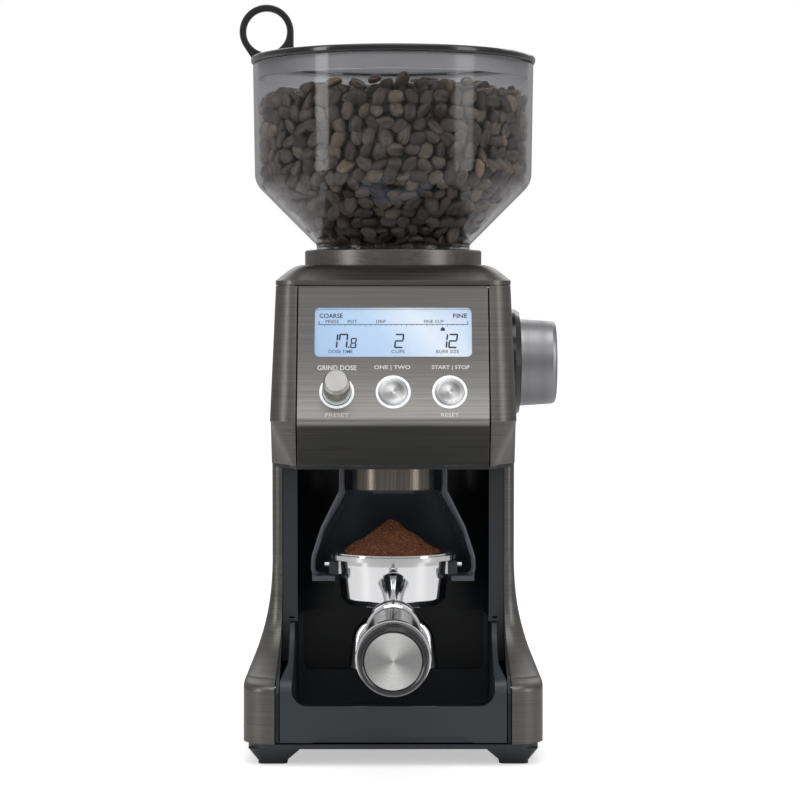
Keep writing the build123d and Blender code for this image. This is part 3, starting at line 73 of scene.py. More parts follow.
# ---------------------------------------------------------------- node helpers
class Shade:
    """A Principled material with short ways to add the nodes that every finish here uses."""

    def __init__(self, name, roughness=0.5, metallic=0.0, **sockets):
        self.material = bpy.data.materials.new(name)
        self.material.use_nodes = True
        self.tree = self.material.node_tree
        self.shader = self.tree.nodes["Principled BSDF"]
        self.output = self.tree.nodes["Material Output"]
        self.place = self.node("ShaderNodeTexCoord").outputs["Object"]
        self.shader.inputs["Roughness"].default_value = roughness
        self.shader.inputs["Metallic"].default_value = metallic
        for socket, value in sockets.items():
            self.shader.inputs[socket.replace("_", " ")].default_value = value

    def node(self, kind, **settings):
        made = self.tree.nodes.new(kind)
        for key, value in settings.items():
            setattr(made, key, value)
        return made

    def link(self, source, target):
        self.tree.links.new(source, target)

    def feed(self, socket, value):
        """Connects a node output, or sets a plain value."""
        if isinstance(value, bpy.types.NodeSocket):
            self.link(value, socket)
        elif value is not None:
            socket.default_value = value

    def stretched(self, stretch):
        """The object's coordinates, scaled apart along each axis."""
        mapping = self.node("ShaderNodeMapping")
        mapping.inputs["Scale"].default_value = stretch
        self.link(self.place, mapping.inputs["Vector"])
        return mapping.outputs["Vector"]

    def noise(self, scale, detail=3.0, stretch=None, roughness=0.55):
        texture = self.node("ShaderNodeTexNoise")
        texture.inputs["Scale"].default_value = scale
        texture.inputs["Detail"].default_value = detail
        texture.inputs["Roughness"].default_value = roughness
        self.link(self.stretched(stretch) if stretch else self.place, texture.inputs["Vector"])
        return texture.outputs["Fac"]

    def cells(self, scale, feature):
        texture = self.node("ShaderNodeTexVoronoi", feature=feature)
        texture.inputs["Scale"].default_value = scale
        self.link(self.place, texture.inputs["Vector"])
        return texture.outputs["Distance"]

    def ramp(self, value, *stops):
        """A colour ramp; each stop is (position, grey) or (position, (r, g, b))."""
        ramp = self.node("ShaderNodeValToRGB")
        elements = ramp.color_ramp.elements
        while len(elements) < len(stops):
            elements.new(0.5)
        for element, (position, colour) in zip(elements, stops):
            element.position = position
            rgb = colour if isinstance(colour, tuple) else (colour,) * 3
            element.color = (*rgb, 1)
        self.link(value, ramp.inputs["Fac"])
        return ramp.outputs["Color"]

    def math(self, operation, a, b=None):
        node = self.node("ShaderNodeMath", operation=operation)
        self.feed(node.inputs[0], a)
        self.feed(node.inputs[1], b)
        return node.outputs["Value"]

    def vector(self, operation, a, b=None):
        node = self.node("ShaderNodeVectorMath", operation=operation)
        self.feed(node.inputs[0], a)
        self.feed(node.inputs[1], b)
        return node.outputs["Value" if operation in ("LENGTH", "DOT_PRODUCT") else "Vector"]

    def mix(self, factor, a, b, blend_type="MIX"):
        node = self.node("ShaderNodeMix", data_type="RGBA", blend_type=blend_type)
        self.feed(node.inputs["Factor"], factor)
        for socket, value in ((node.inputs[6], a), (node.inputs[7], b)):
            self.feed(socket, (*value, 1) if isinstance(value, tuple) else value)
        return node.outputs[2]

    def range(self, value, low, high, from_low=0.3, from_high=0.7):
        node = self.node("ShaderNodeMapRange")
        self.link(value, node.inputs["Value"])
        limits = {"From Min": from_low, "From Max": from_high, "To Min": low, "To Max": high}
        for key, number in limits.items():
            node.inputs[key].default_value = number
        return node.outputs["Result"]

    def colour(self, value):
        self.feed(self.shader.inputs["Base Color"], (*value, 1) if isinstance(value, tuple) else value)

    def rough(self, value):
        self.link(value, self.shader.inputs["Roughness"])

    def bump(self, height, strength, depth_mm):
        """Adds one bump on top of any that the material has."""
        node = self.node("ShaderNodeBump")
        node.inputs["Strength"].default_value = strength
        node.inputs["Distance"].default_value = depth_mm * MM
        self.link(height, node.inputs["Height"])
        normal = self.shader.inputs["Normal"]
        if normal.is_linked:
            self.link(normal.links[0].from_socket, node.inputs["Normal"])
        self.link(node.outputs["Normal"], normal)

    def axis(self, index, origin=(0, 0, 0)):
        """One coordinate of the surface point, measured from origin."""
        split = self.node("ShaderNodeSeparateXYZ")
        self.link(self.vector("SUBTRACT", self.place, tuple(origin)), split.inputs[0])
        return split.outputs[index]

    def around(self, centre, axis):
        """The distance from a turning axis, and the direction round it."""
        offset = self.vector("SUBTRACT", self.place, tuple(centre))
        circling = self.vector("CROSS_PRODUCT", tuple(axis), offset)
        return self.vector("LENGTH", circling), circling


EDGE_WEAR = 0.5 * MM


def wear(shade, clean, worn, amount=0.35):
    """Mixes in a worn colour along edges, found by rounding them, broken up by a soft noise."""
    rounded = shade.node("ShaderNodeBevel", samples=4)
    rounded.inputs["Radius"].default_value = EDGE_WEAR
    facing = shade.node("ShaderNodeNewGeometry").outputs["Normal"]
    sharp = shade.range(shade.vector("DOT_PRODUCT", rounded.outputs["Normal"], facing), 1, 0, 0.8, 0.985)
    patchy = shade.math("MULTIPLY", sharp, shade.range(shade.noise(60), 0, amount, 0.35, 0.65))
    return shade.mix(patchy, clean, worn)


# ---------------------------------------------------------------- finishes
GRAIN_DEPTH = 0.012           # of the brushing, in millimetres


def brushed(name, dark, light, roughness, grain, tones=None):
    """A brushed metallic finish: fine streaks along the grain, with soft patches of tone.

    tones are (height, share) pairs that paint the colour darker or lighter over the height of the piece:
    painted shade and painted light."""
    shade = Shade(name, metallic=0.92)
    streaks = shade.noise(1.0, 4, grain, 0.6)
    cloud = shade.noise(9, 2)
    tone = shade.mix(shade.range(streaks, 0, 0.75), dark, light)
    tone = shade.mix(shade.range(cloud, 0, 0.16), tone, light)
    # painted shade and painted light: the colour is scaled up or down by height, as the tones give
    if tones:
        low, high = tones[0][0], tones[-1][0]
        height = shade.range(shade.axis(2), 0, 1, low, high)
        share = shade.ramp(height, *[((z - low) / (high - low), level) for z, level in tones])
        tone = shade.mix(1.0, tone, share, "MULTIPLY")
    shade.colour(wear(shade, tone, tuple(min(1, c * 1.9) for c in light)))
    shade.rough(shade.range(streaks, roughness - 0.05, roughness + 0.07))
    shade.bump(streaks, 0.35, GRAIN_DEPTH)
    shade.bump(shade.noise(45, 2), 0.05, 0.15)
    return shade.material


def moulded(name, colour, roughness, texture=900, depth=0.03, light_share=1.35, **sockets):
    """Moulded plastic: a fine spark-eroded texture, faint flow marks and lighter handled edges."""
    shade = Shade(name, **sockets)
    lighter = tuple(c * light_share for c in colour)
    flow = shade.noise(14, 3, (1, 1, 2.4))
    tone = shade.mix(shade.range(flow, 0, 0.8), colour, lighter)
    shade.colour(wear(shade, tone, tuple(min(1, c * 2.2 + 0.01) for c in lighter), 0.25))
    grain = shade.noise(texture, 2)
    shade.rough(shade.range(flow, roughness - 0.04, roughness + 0.06))
    shade.bump(grain, 0.28, depth)
    return shade.material


def spun(name, centre, axis, tone, roughness=0.24, rings=5200, anisotropic=0.85, sheen=None):
    """Metal turned on a lathe: concentric tool marks that spread highlights across the rings.

    sheen, in degrees, paints a highlight into the turned face's colour: two brighter opposite lobes that way
    round, with painted shade between them."""
    shade = Shade(name, metallic=1.0, Anisotropic=anisotropic)
    radius, circling = shade.around(centre, axis)
    marks = shade.node("ShaderNodeTexNoise", noise_dimensions="1D")
    marks.inputs["Scale"].default_value = rings
    marks.inputs["Detail"].default_value = 3
    shade.link(radius, marks.inputs["W"])
    ring = marks.outputs["Fac"]
    face = shade.mix(shade.range(ring, 0, 0.6), tone, tuple(c * 0.8 for c in tone))
    # painted highlight: two opposite bright lobes round the axis, with the colour painted darker between them
    # as shade
    if sheen is not None:
        up = Vector((1, 0, 0)).cross(Vector(axis)) * -1
        across = shade.axis(0, centre)
        along = shade.vector("DOT_PRODUCT", shade.vector("SUBTRACT", shade.place, tuple(centre)), tuple(up))
        turn = shade.math("MULTIPLY", shade.math("ARCTAN2", along, across), 2.0)
        painted_highlight_lobes = shade.math("COSINE", shade.math("SUBTRACT", turn, 2 * math.radians(sheen)))
        face = shade.mix(shade.range(painted_highlight_lobes, 0, 1, -0.9, 0.9), tuple(c * 0.42 for c in tone), face)
    shade.colour(face)
    shade.rough(shade.range(ring, roughness, roughness + 0.1))
    tangent = shade.node("ShaderNodeVectorTransform", vector_type="VECTOR",
                         convert_from="OBJECT", convert_to="WORLD")
    shade.link(circling, tangent.inputs[0])
    shade.link(tangent.outputs[0], shade.shader.inputs["Tangent"])
    shade.bump(ring, 0.2, 0.02)
    return shade.material


def polished(name, tone=(0.95, 0.95, 0.955), roughness=0.05):
    """Plated chrome: a near mirror with the faint ripple and handling haze of polished metal."""
    shade = Shade(name, metallic=1.0)
    haze = shade.noise(26, 4)
    shade.colour(shade.mix(shade.range(haze, 0, 0.5), tone, tuple(c * 0.93 for c in tone)))
    shade.rough(shade.range(haze, roughness, roughness + 0.07, 0.35, 0.75))
    shade.bump(shade.noise(70, 2), 0.06, 0.05)
    return shade.material


def clear(name, tint, roughness, ior, lamp_tint=(0.85, 0.85, 0.85)):
    """Clear moulded plastic that lets lamps through to what it holds."""
    shade = Shade(name, roughness=roughness)
    shade.shader.inputs["Transmission Weight"].default_value = 1.0
    shade.shader.inputs["IOR"].default_value = ior
    scuffs = shade.noise(40, 5, (1, 1, 0.25))
    shade.colour(shade.mix(shade.range(scuffs, 0, 0.35, 0.45, 0.8), tint, tuple(c * 0.93 for c in tint)))
    shade.bump(shade.noise(22, 2), 0.04, 0.1)
    passing = shade.node("ShaderNodeBsdfTransparent")
    passing.inputs["Color"].default_value = (*lamp_tint, 1)
    rays = shade.node("ShaderNodeLightPath")
    mixed = shade.node("ShaderNodeMixShader")
    shade.link(rays.outputs["Is Shadow Ray"], mixed.inputs["Fac"])
    shade.link(shade.shader.outputs[0], mixed.inputs[1])
    shade.link(passing.outputs[0], mixed.inputs[2])
    shade.link(mixed.outputs[0], shade.output.inputs["Surface"])
    return shade.material


def glowing_panel():
    """The display's backlit layer: pale blue, brighter along a diagonal."""
    shade = Shade("display_glow", roughness=0.35)
    shade.shader.inputs["Emission Strength"].default_value = 0.74
    low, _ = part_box("display_panel")
    slant, left, width = 0.9, -0.045, 0.125
    diagonal = shade.math("ADD", shade.axis(0), shade.math("MULTIPLY", shade.axis(2), slant))
    start = left + low.z * slant
    span = shade.range(diagonal, 0, 1, start, start + width)
    glow = shade.ramp(span, (0.0, (0.40, 0.56, 0.82)), (0.42, (0.55, 0.72, 0.93)), (0.62, (0.86, 0.93, 1.0)),
                      (1.0, (0.50, 0.66, 0.90)))
    grain = shade.noise(1500, 1)
    lit = shade.mix(shade.range(grain, 0, 0.12), glow, (0.35, 0.5, 0.8))
    shade.feed(shade.shader.inputs["Emission Color"], lit)
    shade.colour(shade.mix(0.8, lit, (0.03, 0.05, 0.08)))
    return shade.material


def board_finish():
    """A lacquered circuit board with copper tracks under the lacquer."""
    shade = Shade("circuit_board", roughness=0.3)
    tracks = shade.range(shade.cells(420, "DISTANCE_TO_EDGE"), 1, 0, 0.02, 0.1)
    shade.colour(shade.mix(tracks, (0.012, 0.07, 0.035), (0.05, 0.18, 0.09)))
    shade.bump(tracks, 0.3, 0.05)
    return shade.material


def bean_finish():
    """Dark roasted beans, each with its own brown and an uneven, oily sheen."""
    shade = Shade("roasted_beans", roughness=0.42)
    tone = shade.node("ShaderNodeAttribute", attribute_name="tone").outputs["Fac"]
    roast = shade.ramp(tone, (0.0, (0.042, 0.033, 0.028)), (0.45, (0.12, 0.093, 0.078)),
                       (0.8, (0.22, 0.175, 0.13)), (1.0, (0.40, 0.32, 0.20)))
    mottled = shade.noise(420, 4)
    shade.colour(shade.mix(shade.range(mottled, 0, 0.45), roast, (0.012, 0.009, 0.008)))
    shade.rough(shade.range(mottled, 0.34, 0.55))
    shade.bump(mottled, 0.35, 0.25)
    return shade.material


def grounds_finish():
    """Ground coffee: red-brown crumbs with dark and tan specks."""
    shade = Shade("coffee_grounds", roughness=0.85)
    tone = shade.node("ShaderNodeAttribute", attribute_name="tone").outputs["Fac"]
    crumbs = shade.ramp(tone, (0.0, (0.055, 0.016, 0.005)), (0.5, (0.21, 0.068, 0.02)),
                        (1.0, (0.45, 0.19, 0.06)))
    specks = shade.noise(1900, 3)
    shade.colour(shade.mix(shade.range(specks, 0, 0.6), crumbs, (0.03, 0.011, 0.006)))
    shade.bump(specks, 0.8, 0.35)
    return shade.material


def ink(name, colour, glow=0.0):
    """Printed marks, slightly uneven as screen printing is; glow, when given, makes them shine with a painted
    glow.
    """
    shade = Shade(name, roughness=0.5)
    uneven = shade.noise(700, 2)
    shade.colour(shade.mix(shade.range(uneven, 0, 0.3), colour, tuple(c * 0.75 for c in colour)))
    if glow:
        shade.shader.inputs["Emission Color"].default_value = (*colour, 1)
        shade.shader.inputs["Emission Strength"].default_value = glow
    return shade.material


def frosted_light(name):
    """A frosted white light guide."""
    shade = Shade(name, roughness=0.4)
    shade.shader.inputs["Emission Color"].default_value = (0.93, 0.97, 1, 1)
    shade.shader.inputs["Emission Strength"].default_value = 0.35
    frost = shade.noise(1200, 3)
    shade.colour(shade.mix(shade.range(frost, 0, 0.3), (0.86, 0.88, 0.9), (0.72, 0.75, 0.78)))
    shade.bump(frost, 0.2, 0.03)
    return shade.material


ACROSS = (14, 14, 1500)       # grain that runs level round the housing
housing = brushed("housing_metal", (0.105, 0.100, 0.093), (0.185, 0.178, 0.166), 0.36, ACROSS)
# the control panel's colour is painted lighter just above the crease and much darker on the chin below it:
# painted light and painted shade
panel_metal_painted_shading = brushed("panel_metal_painted_shading", (0.29, 0.283, 0.27), (0.5, 0.487, 0.467), 0.36, ACROSS, tones=(
    (0.148, 0.12), (0.168, 0.15), (0.1705, 1.0), (0.178, 0.95), (0.19, 0.66), (0.205, 0.46), (0.239, 0.4)))
cover_metal = brushed("cover_metal", (0.125, 0.12, 0.112), (0.21, 0.203, 0.19), 0.34, (14, 900, 900))
dark_plastic = moulded("black_plastic", (0.022, 0.0245, 0.028), 0.42)
tray_plastic = moulded("tray_plastic", (0.026, 0.031, 0.036), 0.38)
grip_plastic = moulded("grip_plastic", (0.010, 0.010, 0.011), 0.22, 1200, 0.012, Coat_Weight=0.3)
lid_plastic = moulded("lid_plastic", (0.010, 0.010, 0.011), 0.16, 1200, 0.01, Coat_Weight=0.4)
cradle_plastic = moulded("cradle_plastic", (0.055, 0.062, 0.072), 0.2, 1100, 0.012, Coat_Weight=0.5)
rubber = moulded("rubber", (0.018, 0.018, 0.018), 0.75, 1500, 0.06)
steel = brushed("steel", (0.42, 0.42, 0.42), (0.62, 0.62, 0.62), 0.24, (14, 14, 1800))
chrome = polished("chrome")
trim_metal = brushed("trim_metal", (0.13, 0.115, 0.098), (0.26, 0.23, 0.20), 0.2, (1500, 1500, 18))
dial_metal = spun("dial_silver", DIAL_CENTRE, (1, 0, 0), (0.33, 0.33, 0.34), 0.34, 2400, 0.3)
smoky_clear = clear("smoky_clear", (0.80, 0.79, 0.80), 0.02, 1.3, (0.85, 0.84, 0.85))
display_clear = clear("display_clear", (0.96, 0.97, 0.98), 0.03, 1.2, (0.95, 0.95, 0.95))
seal_soft = clear("seal_soft", (0.80, 0.82, 0.83), 0.45, 1.3)
display_glow = glowing_panel()
light_white = frosted_light("light_white")
gears = moulded("gear_plastic", (0.62, 0.6, 0.54), 0.4, 700, 0.02, 1.1)
boards = board_finish()

# the buttons' painted highlights lie this way round, in degrees
BUTTON_TONE, BUTTON_PAINTED_HIGHLIGHT = (0.85, 0.85, 0.85), 125
FINISHES = {
    "base_frame": dark_plastic, "foot_pads": rubber, "right_side_panel": housing, "left_side_panel": housing,
    "rear_cover": housing, "case_screws": steel, "cord_gland": rubber, "front_panel": panel_metal_painted_shading,
    "top_cover": cover_metal, "cavity_liner": dark_plastic, "outlet_chute": dark_plastic,
    "outlet_trim": trim_metal, "display_window": display_clear, "display_panel": display_glow,
    "control_board": boards, "light_rings": light_white, "power_board": boards,
    "microswitches": dark_plastic, "gearbox_base": gears, "grind_chamber": dark_plastic,
    "shaft_bearings": steel, "motor_can": steel, "idler_axle": steel, "dial_escutcheon": grip_plastic,
    "burr_shaft": steel, "burr_gear": gears, "impeller": gears, "lower_burr": steel, "burr_nut": steel,
    "idler_gear": gears, "motor_rotor": steel, "adjusting_ring": gears, "upper_burr": steel,
    "burr_carrier": dark_plastic, "dial_shaft": gears, "encoder_plunger": dark_plastic,
    "switch_plunger": dark_plastic, "cradle": cradle_plastic, "cradle_magnets": chrome,
    "portafilter_bowl": chrome, "filter_basket": chrome, "spout": chrome, "handle_collar": grip_plastic,
    "handle_ferrule": chrome, "handle_grip": grip_plastic, "handle_band": chrome, "grinds_tray": tray_plastic,
    "hopper_shell": smoky_clear, "hopper_base": dark_plastic, "lock_knob": dark_plastic,
    "lid_rim": lid_plastic, "lid_window": smoky_clear, "lid_seal": seal_soft,
    "grind_size_dial": dial_metal,
    "shots_button": spun("shots_button_metal", on_panel(0, CONTROL_V), PANEL_OUT,
                         BUTTON_TONE, sheen=BUTTON_PAINTED_HIGHLIGHT),
    "start_button": spun("start_button_metal", on_panel(CONTROL_X, CONTROL_V), PANEL_OUT,
                         BUTTON_TONE, sheen=BUTTON_PAINTED_HIGHLIGHT),
    "amount_knob": spun("amount_knob_metal", on_panel(-CONTROL_X, CONTROL_V), PANEL_OUT,
                        (0.62, 0.61, 0.585), 0.3, 2600, 0.6),
    # the handle cap's face gets painted highlights above and below its middle
    "handle_cap": spun("handle_cap_metal", HANDLE_START, HANDLE_AXIS,
                       (0.9, 0.895, 0.88), 0.24, 5200, 0.9, 90),
}
for node_name, finish in FINISHES.items():
    for slot in NODES[node_name].material_slots:
        slot.material = finish


# ---------------------------------------------------------------- mesh helpers
def mesh_piece(name, points, faces, material, body, tones=None, smooth=True):
    """A piece made of one mesh, with an optional tone for each point."""
    mesh = bpy.data.meshes.new(name)
    mesh.from_pydata(points, [], faces)
    mesh.validate()
    if tones:
        attribute = mesh.attributes.new("tone", "FLOAT", "POINT")
        attribute.data.foreach_set("value", tones)
    if smooth:
        mesh.polygons.foreach_set("use_smooth", [True] * len(mesh.polygons))
    mesh.materials.append(material)
    piece = bpy.data.objects.new(name, mesh)
    bpy.context.scene.collection.objects.link(piece)
    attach(piece, body)
    return piece


class Heap:
    """Collects copies of small shapes into one mesh."""

    def __init__(self):
        self.points = []
        self.faces = []
        self.tones = []

    def add(self, points, faces, tone):
        start = len(self.points)
        self.points.extend(points)
        self.faces.extend(tuple(index + start for index in face) for face in faces)
        self.tones.extend([tone] * len(points) if isinstance(tone, float) else tone)


# ---------------------------------------------------------------- coffee beans
BEAN_RINGS = 7
BEAN_SIDES = 12
BEAN_HALF = (5.0, 3.7)        # half length and half width
BEAN_BACK, BEAN_FLAT = 3.1, 1.5
BEAN_TIP = 0.2                # height of both tips
BEAN_BLUNT = 0.8              # below 1, the ends are blunter than an ellipse
CREASE_DEPTH, CREASE_WAVE, CREASE_PINCH = 0.95, 0.5, 0.55


def bean_shape():
    """One bean: a rounded back, a flatter face and a crease along that face."""
    points = [(-BEAN_HALF[0], 0, BEAN_TIP)]
    for ring in range(1, BEAN_RINGS):
        along = math.pi * ring / BEAN_RINGS
        x = -BEAN_HALF[0] * math.cos(along)
        girth = math.sin(along) ** BEAN_BLUNT
        for side in range(BEAN_SIDES):
            turn = 2 * math.pi * side / BEAN_SIDES
            y = BEAN_HALF[1] * math.cos(turn) * girth
            z = math.sin(turn) * girth * (BEAN_BACK if math.sin(turn) > 0 else BEAN_FLAT)
            if side == 3 * BEAN_SIDES // 4:
                z += CREASE_DEPTH * girth
                y += CREASE_WAVE * math.sin(2 * along)
            elif math.sin(turn) < -0.8:
                y *= CREASE_PINCH
            points.append((x, y, z))
    points.append((BEAN_HALF[0], 0, BEAN_TIP))
    last = len(points) - 1
    faces = []
    for side in range(BEAN_SIDES):
        after = (side + 1) % BEAN_SIDES
        faces.append((0, 1 + after, 1 + side))
        for ring in range(BEAN_RINGS - 2):
            low, high = 1 + ring * BEAN_SIDES, 1 + (ring + 1) * BEAN_SIDES
            faces.append((low + side, low + after, high + after, high + side))
        top = 1 + (BEAN_RINGS - 2) * BEAN_SIDES
        faces.append((top + side, top + after, last))
    return points, faces


# the inside of the hopper's wall, as (radius, height) in millimetres
HOPPER_WALL = ((36.0, 252.0), (36.6, 260.0), (69.8, 293.4), (71.2, 299.0), (71.8, 338.0))
WALL_LAYERS = 2
WALL_START = 2.5              # where the lowest row lies, up the wall
BEAN_ROW, BEAN_STEP = 6.6, 7.9
LAYER_DEPTH = 5.6
BEAN_INSET = 3.0
FLIPPED_SHARE = 0.55
BEAN_TILT = 0.32
TOP_BEANS, TOP_SPACING = 265, 4.1
TOP_HEIGHT, TOP_RADIUS, TOP_SWELL = 339.5, 66, 2.6


def along_wall(distance):
    """The point at a distance up the hopper's wall, and the direction there."""
    for (r0, z0), (r1, z1) in zip(HOPPER_WALL, HOPPER_WALL[1:]):
        length = math.hypot(r1 - r0, z1 - z0)
        if distance <= length:
            share = distance / length
            return r0 + (r1 - r0) * share, z0 + (z1 - z0) * share, math.atan2(z1 - z0, r1 - r0)
        distance -= length
    return None


def put_bean(heap, shape, rng, centre, facing):
    """Adds one bean at centre, with its face turned roughly along facing."""
    points, faces = shape
    outward = facing.to_track_quat("Z", "Y").to_matrix()
    flipped = math.pi if rng.random() < FLIPPED_SHARE else 0.0
    tilt = Euler((rng.gauss(0, BEAN_TILT) + flipped, rng.gauss(0, BEAN_TILT), 0)).to_matrix()
    spin = Matrix.Rotation(rng.uniform(0, 2 * math.pi), 3, "Z")
    size = rng.uniform(0.86, 1.08)
    stretch = rng.uniform(0.93, 1.08)
    place = outward @ spin @ tilt
    scaled = [Vector((x * size * stretch, y * size, z * size)) for x, y, z in points]
    heap.add([tuple((place @ p + centre) * MM) for p in scaled], faces, min(1.0, rng.betavariate(2.0, 2.6)))


def beans():
    """Roasted beans packed behind the hopper's wall, with a loose layer on top."""
    rng = random.Random(7)
    shape = bean_shape()
    heap = Heap()
    for layer in range(WALL_LAYERS):
        depth = BEAN_INSET + layer * LAYER_DEPTH
        distance = WALL_START + layer * BEAN_ROW / 2
        while along_wall(distance):
            radius, z, slope = along_wall(distance)
            normal_r, normal_z = math.sin(slope), -math.cos(slope)
            r, height = radius - normal_r * depth, z - normal_z * depth
            count = int(2 * math.pi * r / BEAN_STEP)
            offset = rng.uniform(0, 2 * math.pi)
            for index in range(count):
                turn = offset + 2 * math.pi * (index + rng.uniform(-0.16, 0.16)) / count
                inward = rng.uniform(0, 1.0)
                facing = Vector((math.cos(turn) * normal_r, math.sin(turn) * normal_r, normal_z))
                centre = Vector((r * math.cos(turn), r * math.sin(turn), height + rng.uniform(-1.1, 1.1)))
                put_bean(heap, shape, rng, centre - facing * inward, facing)
            distance += BEAN_ROW
    golden = math.pi * (3 - math.sqrt(5))
    for index in range(TOP_BEANS):
        radius = TOP_SPACING * math.sqrt(index + 0.5)
        turn = index * golden
        if radius > TOP_RADIUS:
            break
        swell = TOP_SWELL * math.sin(turn * 3 + radius * 0.2) * (radius / TOP_RADIUS)
        height = TOP_HEIGHT + swell + rng.uniform(-1.6, 1.6)
        centre = Vector((radius * math.cos(turn), radius * math.sin(turn), height))
        put_bean(heap, shape, rng, centre, Vector((rng.gauss(0, 0.35), rng.gauss(0, 0.35), 1)))
    piece = mesh_piece("hopper_beans", heap.points, heap.faces, bean_finish(), "hopper",
                       heap.tones)
    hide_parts("bean_charge")


# ---------------------------------------------------------------- ground coffee
HEAP_R, HEAP_FLOOR, HEAP_RIM, HEAP_TOP = 25.3, 83.2, 101.6, 120.6
HEAP_RINGS, HEAP_TURNS = 52, 110
HEAP_LEAN = 1.2               # how far its peak is off centre
LUMP_SCALE, LUMP_HEIGHT = 0.16, 1.5
CRUMB_SCALE, CRUMB_HEIGHT = 1.3, 0.55
GRAIN_COUNT = 2300
GRAIN_SMALL, GRAIN_LARGE = 0.22, 0.62


def heap_height(x, y):
    """The height of the heap's surface, over a point given from the heap's middle."""
    from_peak = math.hypot(x + HEAP_LEAN, y)
    share = max(0.0, 1 - from_peak / (HEAP_R + 1.0))
    lumps = noise.noise(Vector((x * LUMP_SCALE, y * LUMP_SCALE, 3.1))) * LUMP_HEIGHT * min(1, share * 4)
    crumbs = noise.noise(Vector((x * CRUMB_SCALE, y * CRUMB_SCALE, 0.4))) * CRUMB_HEIGHT
    return HEAP_RIM + (HEAP_TOP - HEAP_RIM) * share ** 1.12 * (1.04 - 0.12 * share) + lumps + crumbs


def grounds():
    """A loose heap of ground coffee in the basket, with grains lying on its slope."""
    rng = random.Random(11)
    middle_x, middle_y = 0.0, OUTLET.y / MM
    points = [(middle_x, middle_y, heap_height(0, 0))]
    for ring in range(1, HEAP_RINGS + 1):
        r = HEAP_R * ring / HEAP_RINGS
        for step in range(HEAP_TURNS):
            turn = 2 * math.pi * step / HEAP_TURNS
            x, y = r * math.cos(turn), r * math.sin(turn)
            points.append((middle_x + x, middle_y + y, heap_height(x, y)))
    edge = len(points) - HEAP_TURNS
    points += [(x, y, HEAP_FLOOR) for x, y, _ in points[edge:]]
    floor = len(points) - HEAP_TURNS
    points.append((middle_x, middle_y, HEAP_FLOOR))
    faces = []
    for step in range(HEAP_TURNS):
        after = (step + 1) % HEAP_TURNS
        faces.append((0, 1 + step, 1 + after))
        for ring in range(HEAP_RINGS):
            low = 1 + ring * HEAP_TURNS
            high = low + HEAP_TURNS
            faces.append((low + step, high + step, high + after, low + after))
        faces.append((floor + step, len(points) - 1, floor + after))
    heap = Heap()
    tones = [0.35 + 0.4 * noise.noise(Vector((x, y, z)) * 0.9) for x, y, z in points]
    heap.add([tuple(Vector(p) * MM) for p in points], faces, tones)
    corners = [Vector(c) for c in ((1, 0, 0), (-1, 0, 0), (0, 1, 0), (0, -1, 0), (0, 0, 1), (0, 0, -1))]
    sides = [(0, 2, 4), (2, 1, 4), (1, 3, 4), (3, 0, 4), (2, 0, 5), (1, 2, 5), (3, 1, 5), (0, 3, 5)]
    for _ in range(GRAIN_COUNT):
        r = (HEAP_R - 1.0) * math.sqrt(rng.random())
        turn = rng.uniform(0, 2 * math.pi)
        x, y = r * math.cos(turn), r * math.sin(turn)
        size = rng.uniform(GRAIN_SMALL, GRAIN_LARGE)
        spin = Euler((rng.uniform(0, 6.3), rng.uniform(0, 6.3), rng.uniform(0, 6.3))).to_matrix()
        centre = Vector((middle_x + x, middle_y + y, heap_height(x, y) + size * 0.25))
        crumb = [corner * size * rng.uniform(0.6, 1.15) for corner in corners]
        heap.add([tuple((spin @ c + centre) * MM) for c in crumb], sides, rng.random())
    piece = mesh_piece("grounds_heap", heap.points, heap.faces, grounds_finish(), "portafilter",
                       heap.tones, smooth=False)
    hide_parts("ground_coffee")


# ---------------------------------------------------------------- printed marks
FINE_WEIGHT = 0.004           # how much the strokes of small words are thickened
DIGIT_WEIGHT, DIGIT_GAP, DIGIT_LEAN = 0.85, 0.16, 0.09
LABEL_HEIGHT = 0.05           # of the printed labels above the panel
FIGURE_HEIGHT = -1.72         # of the display's figures, which lie below it


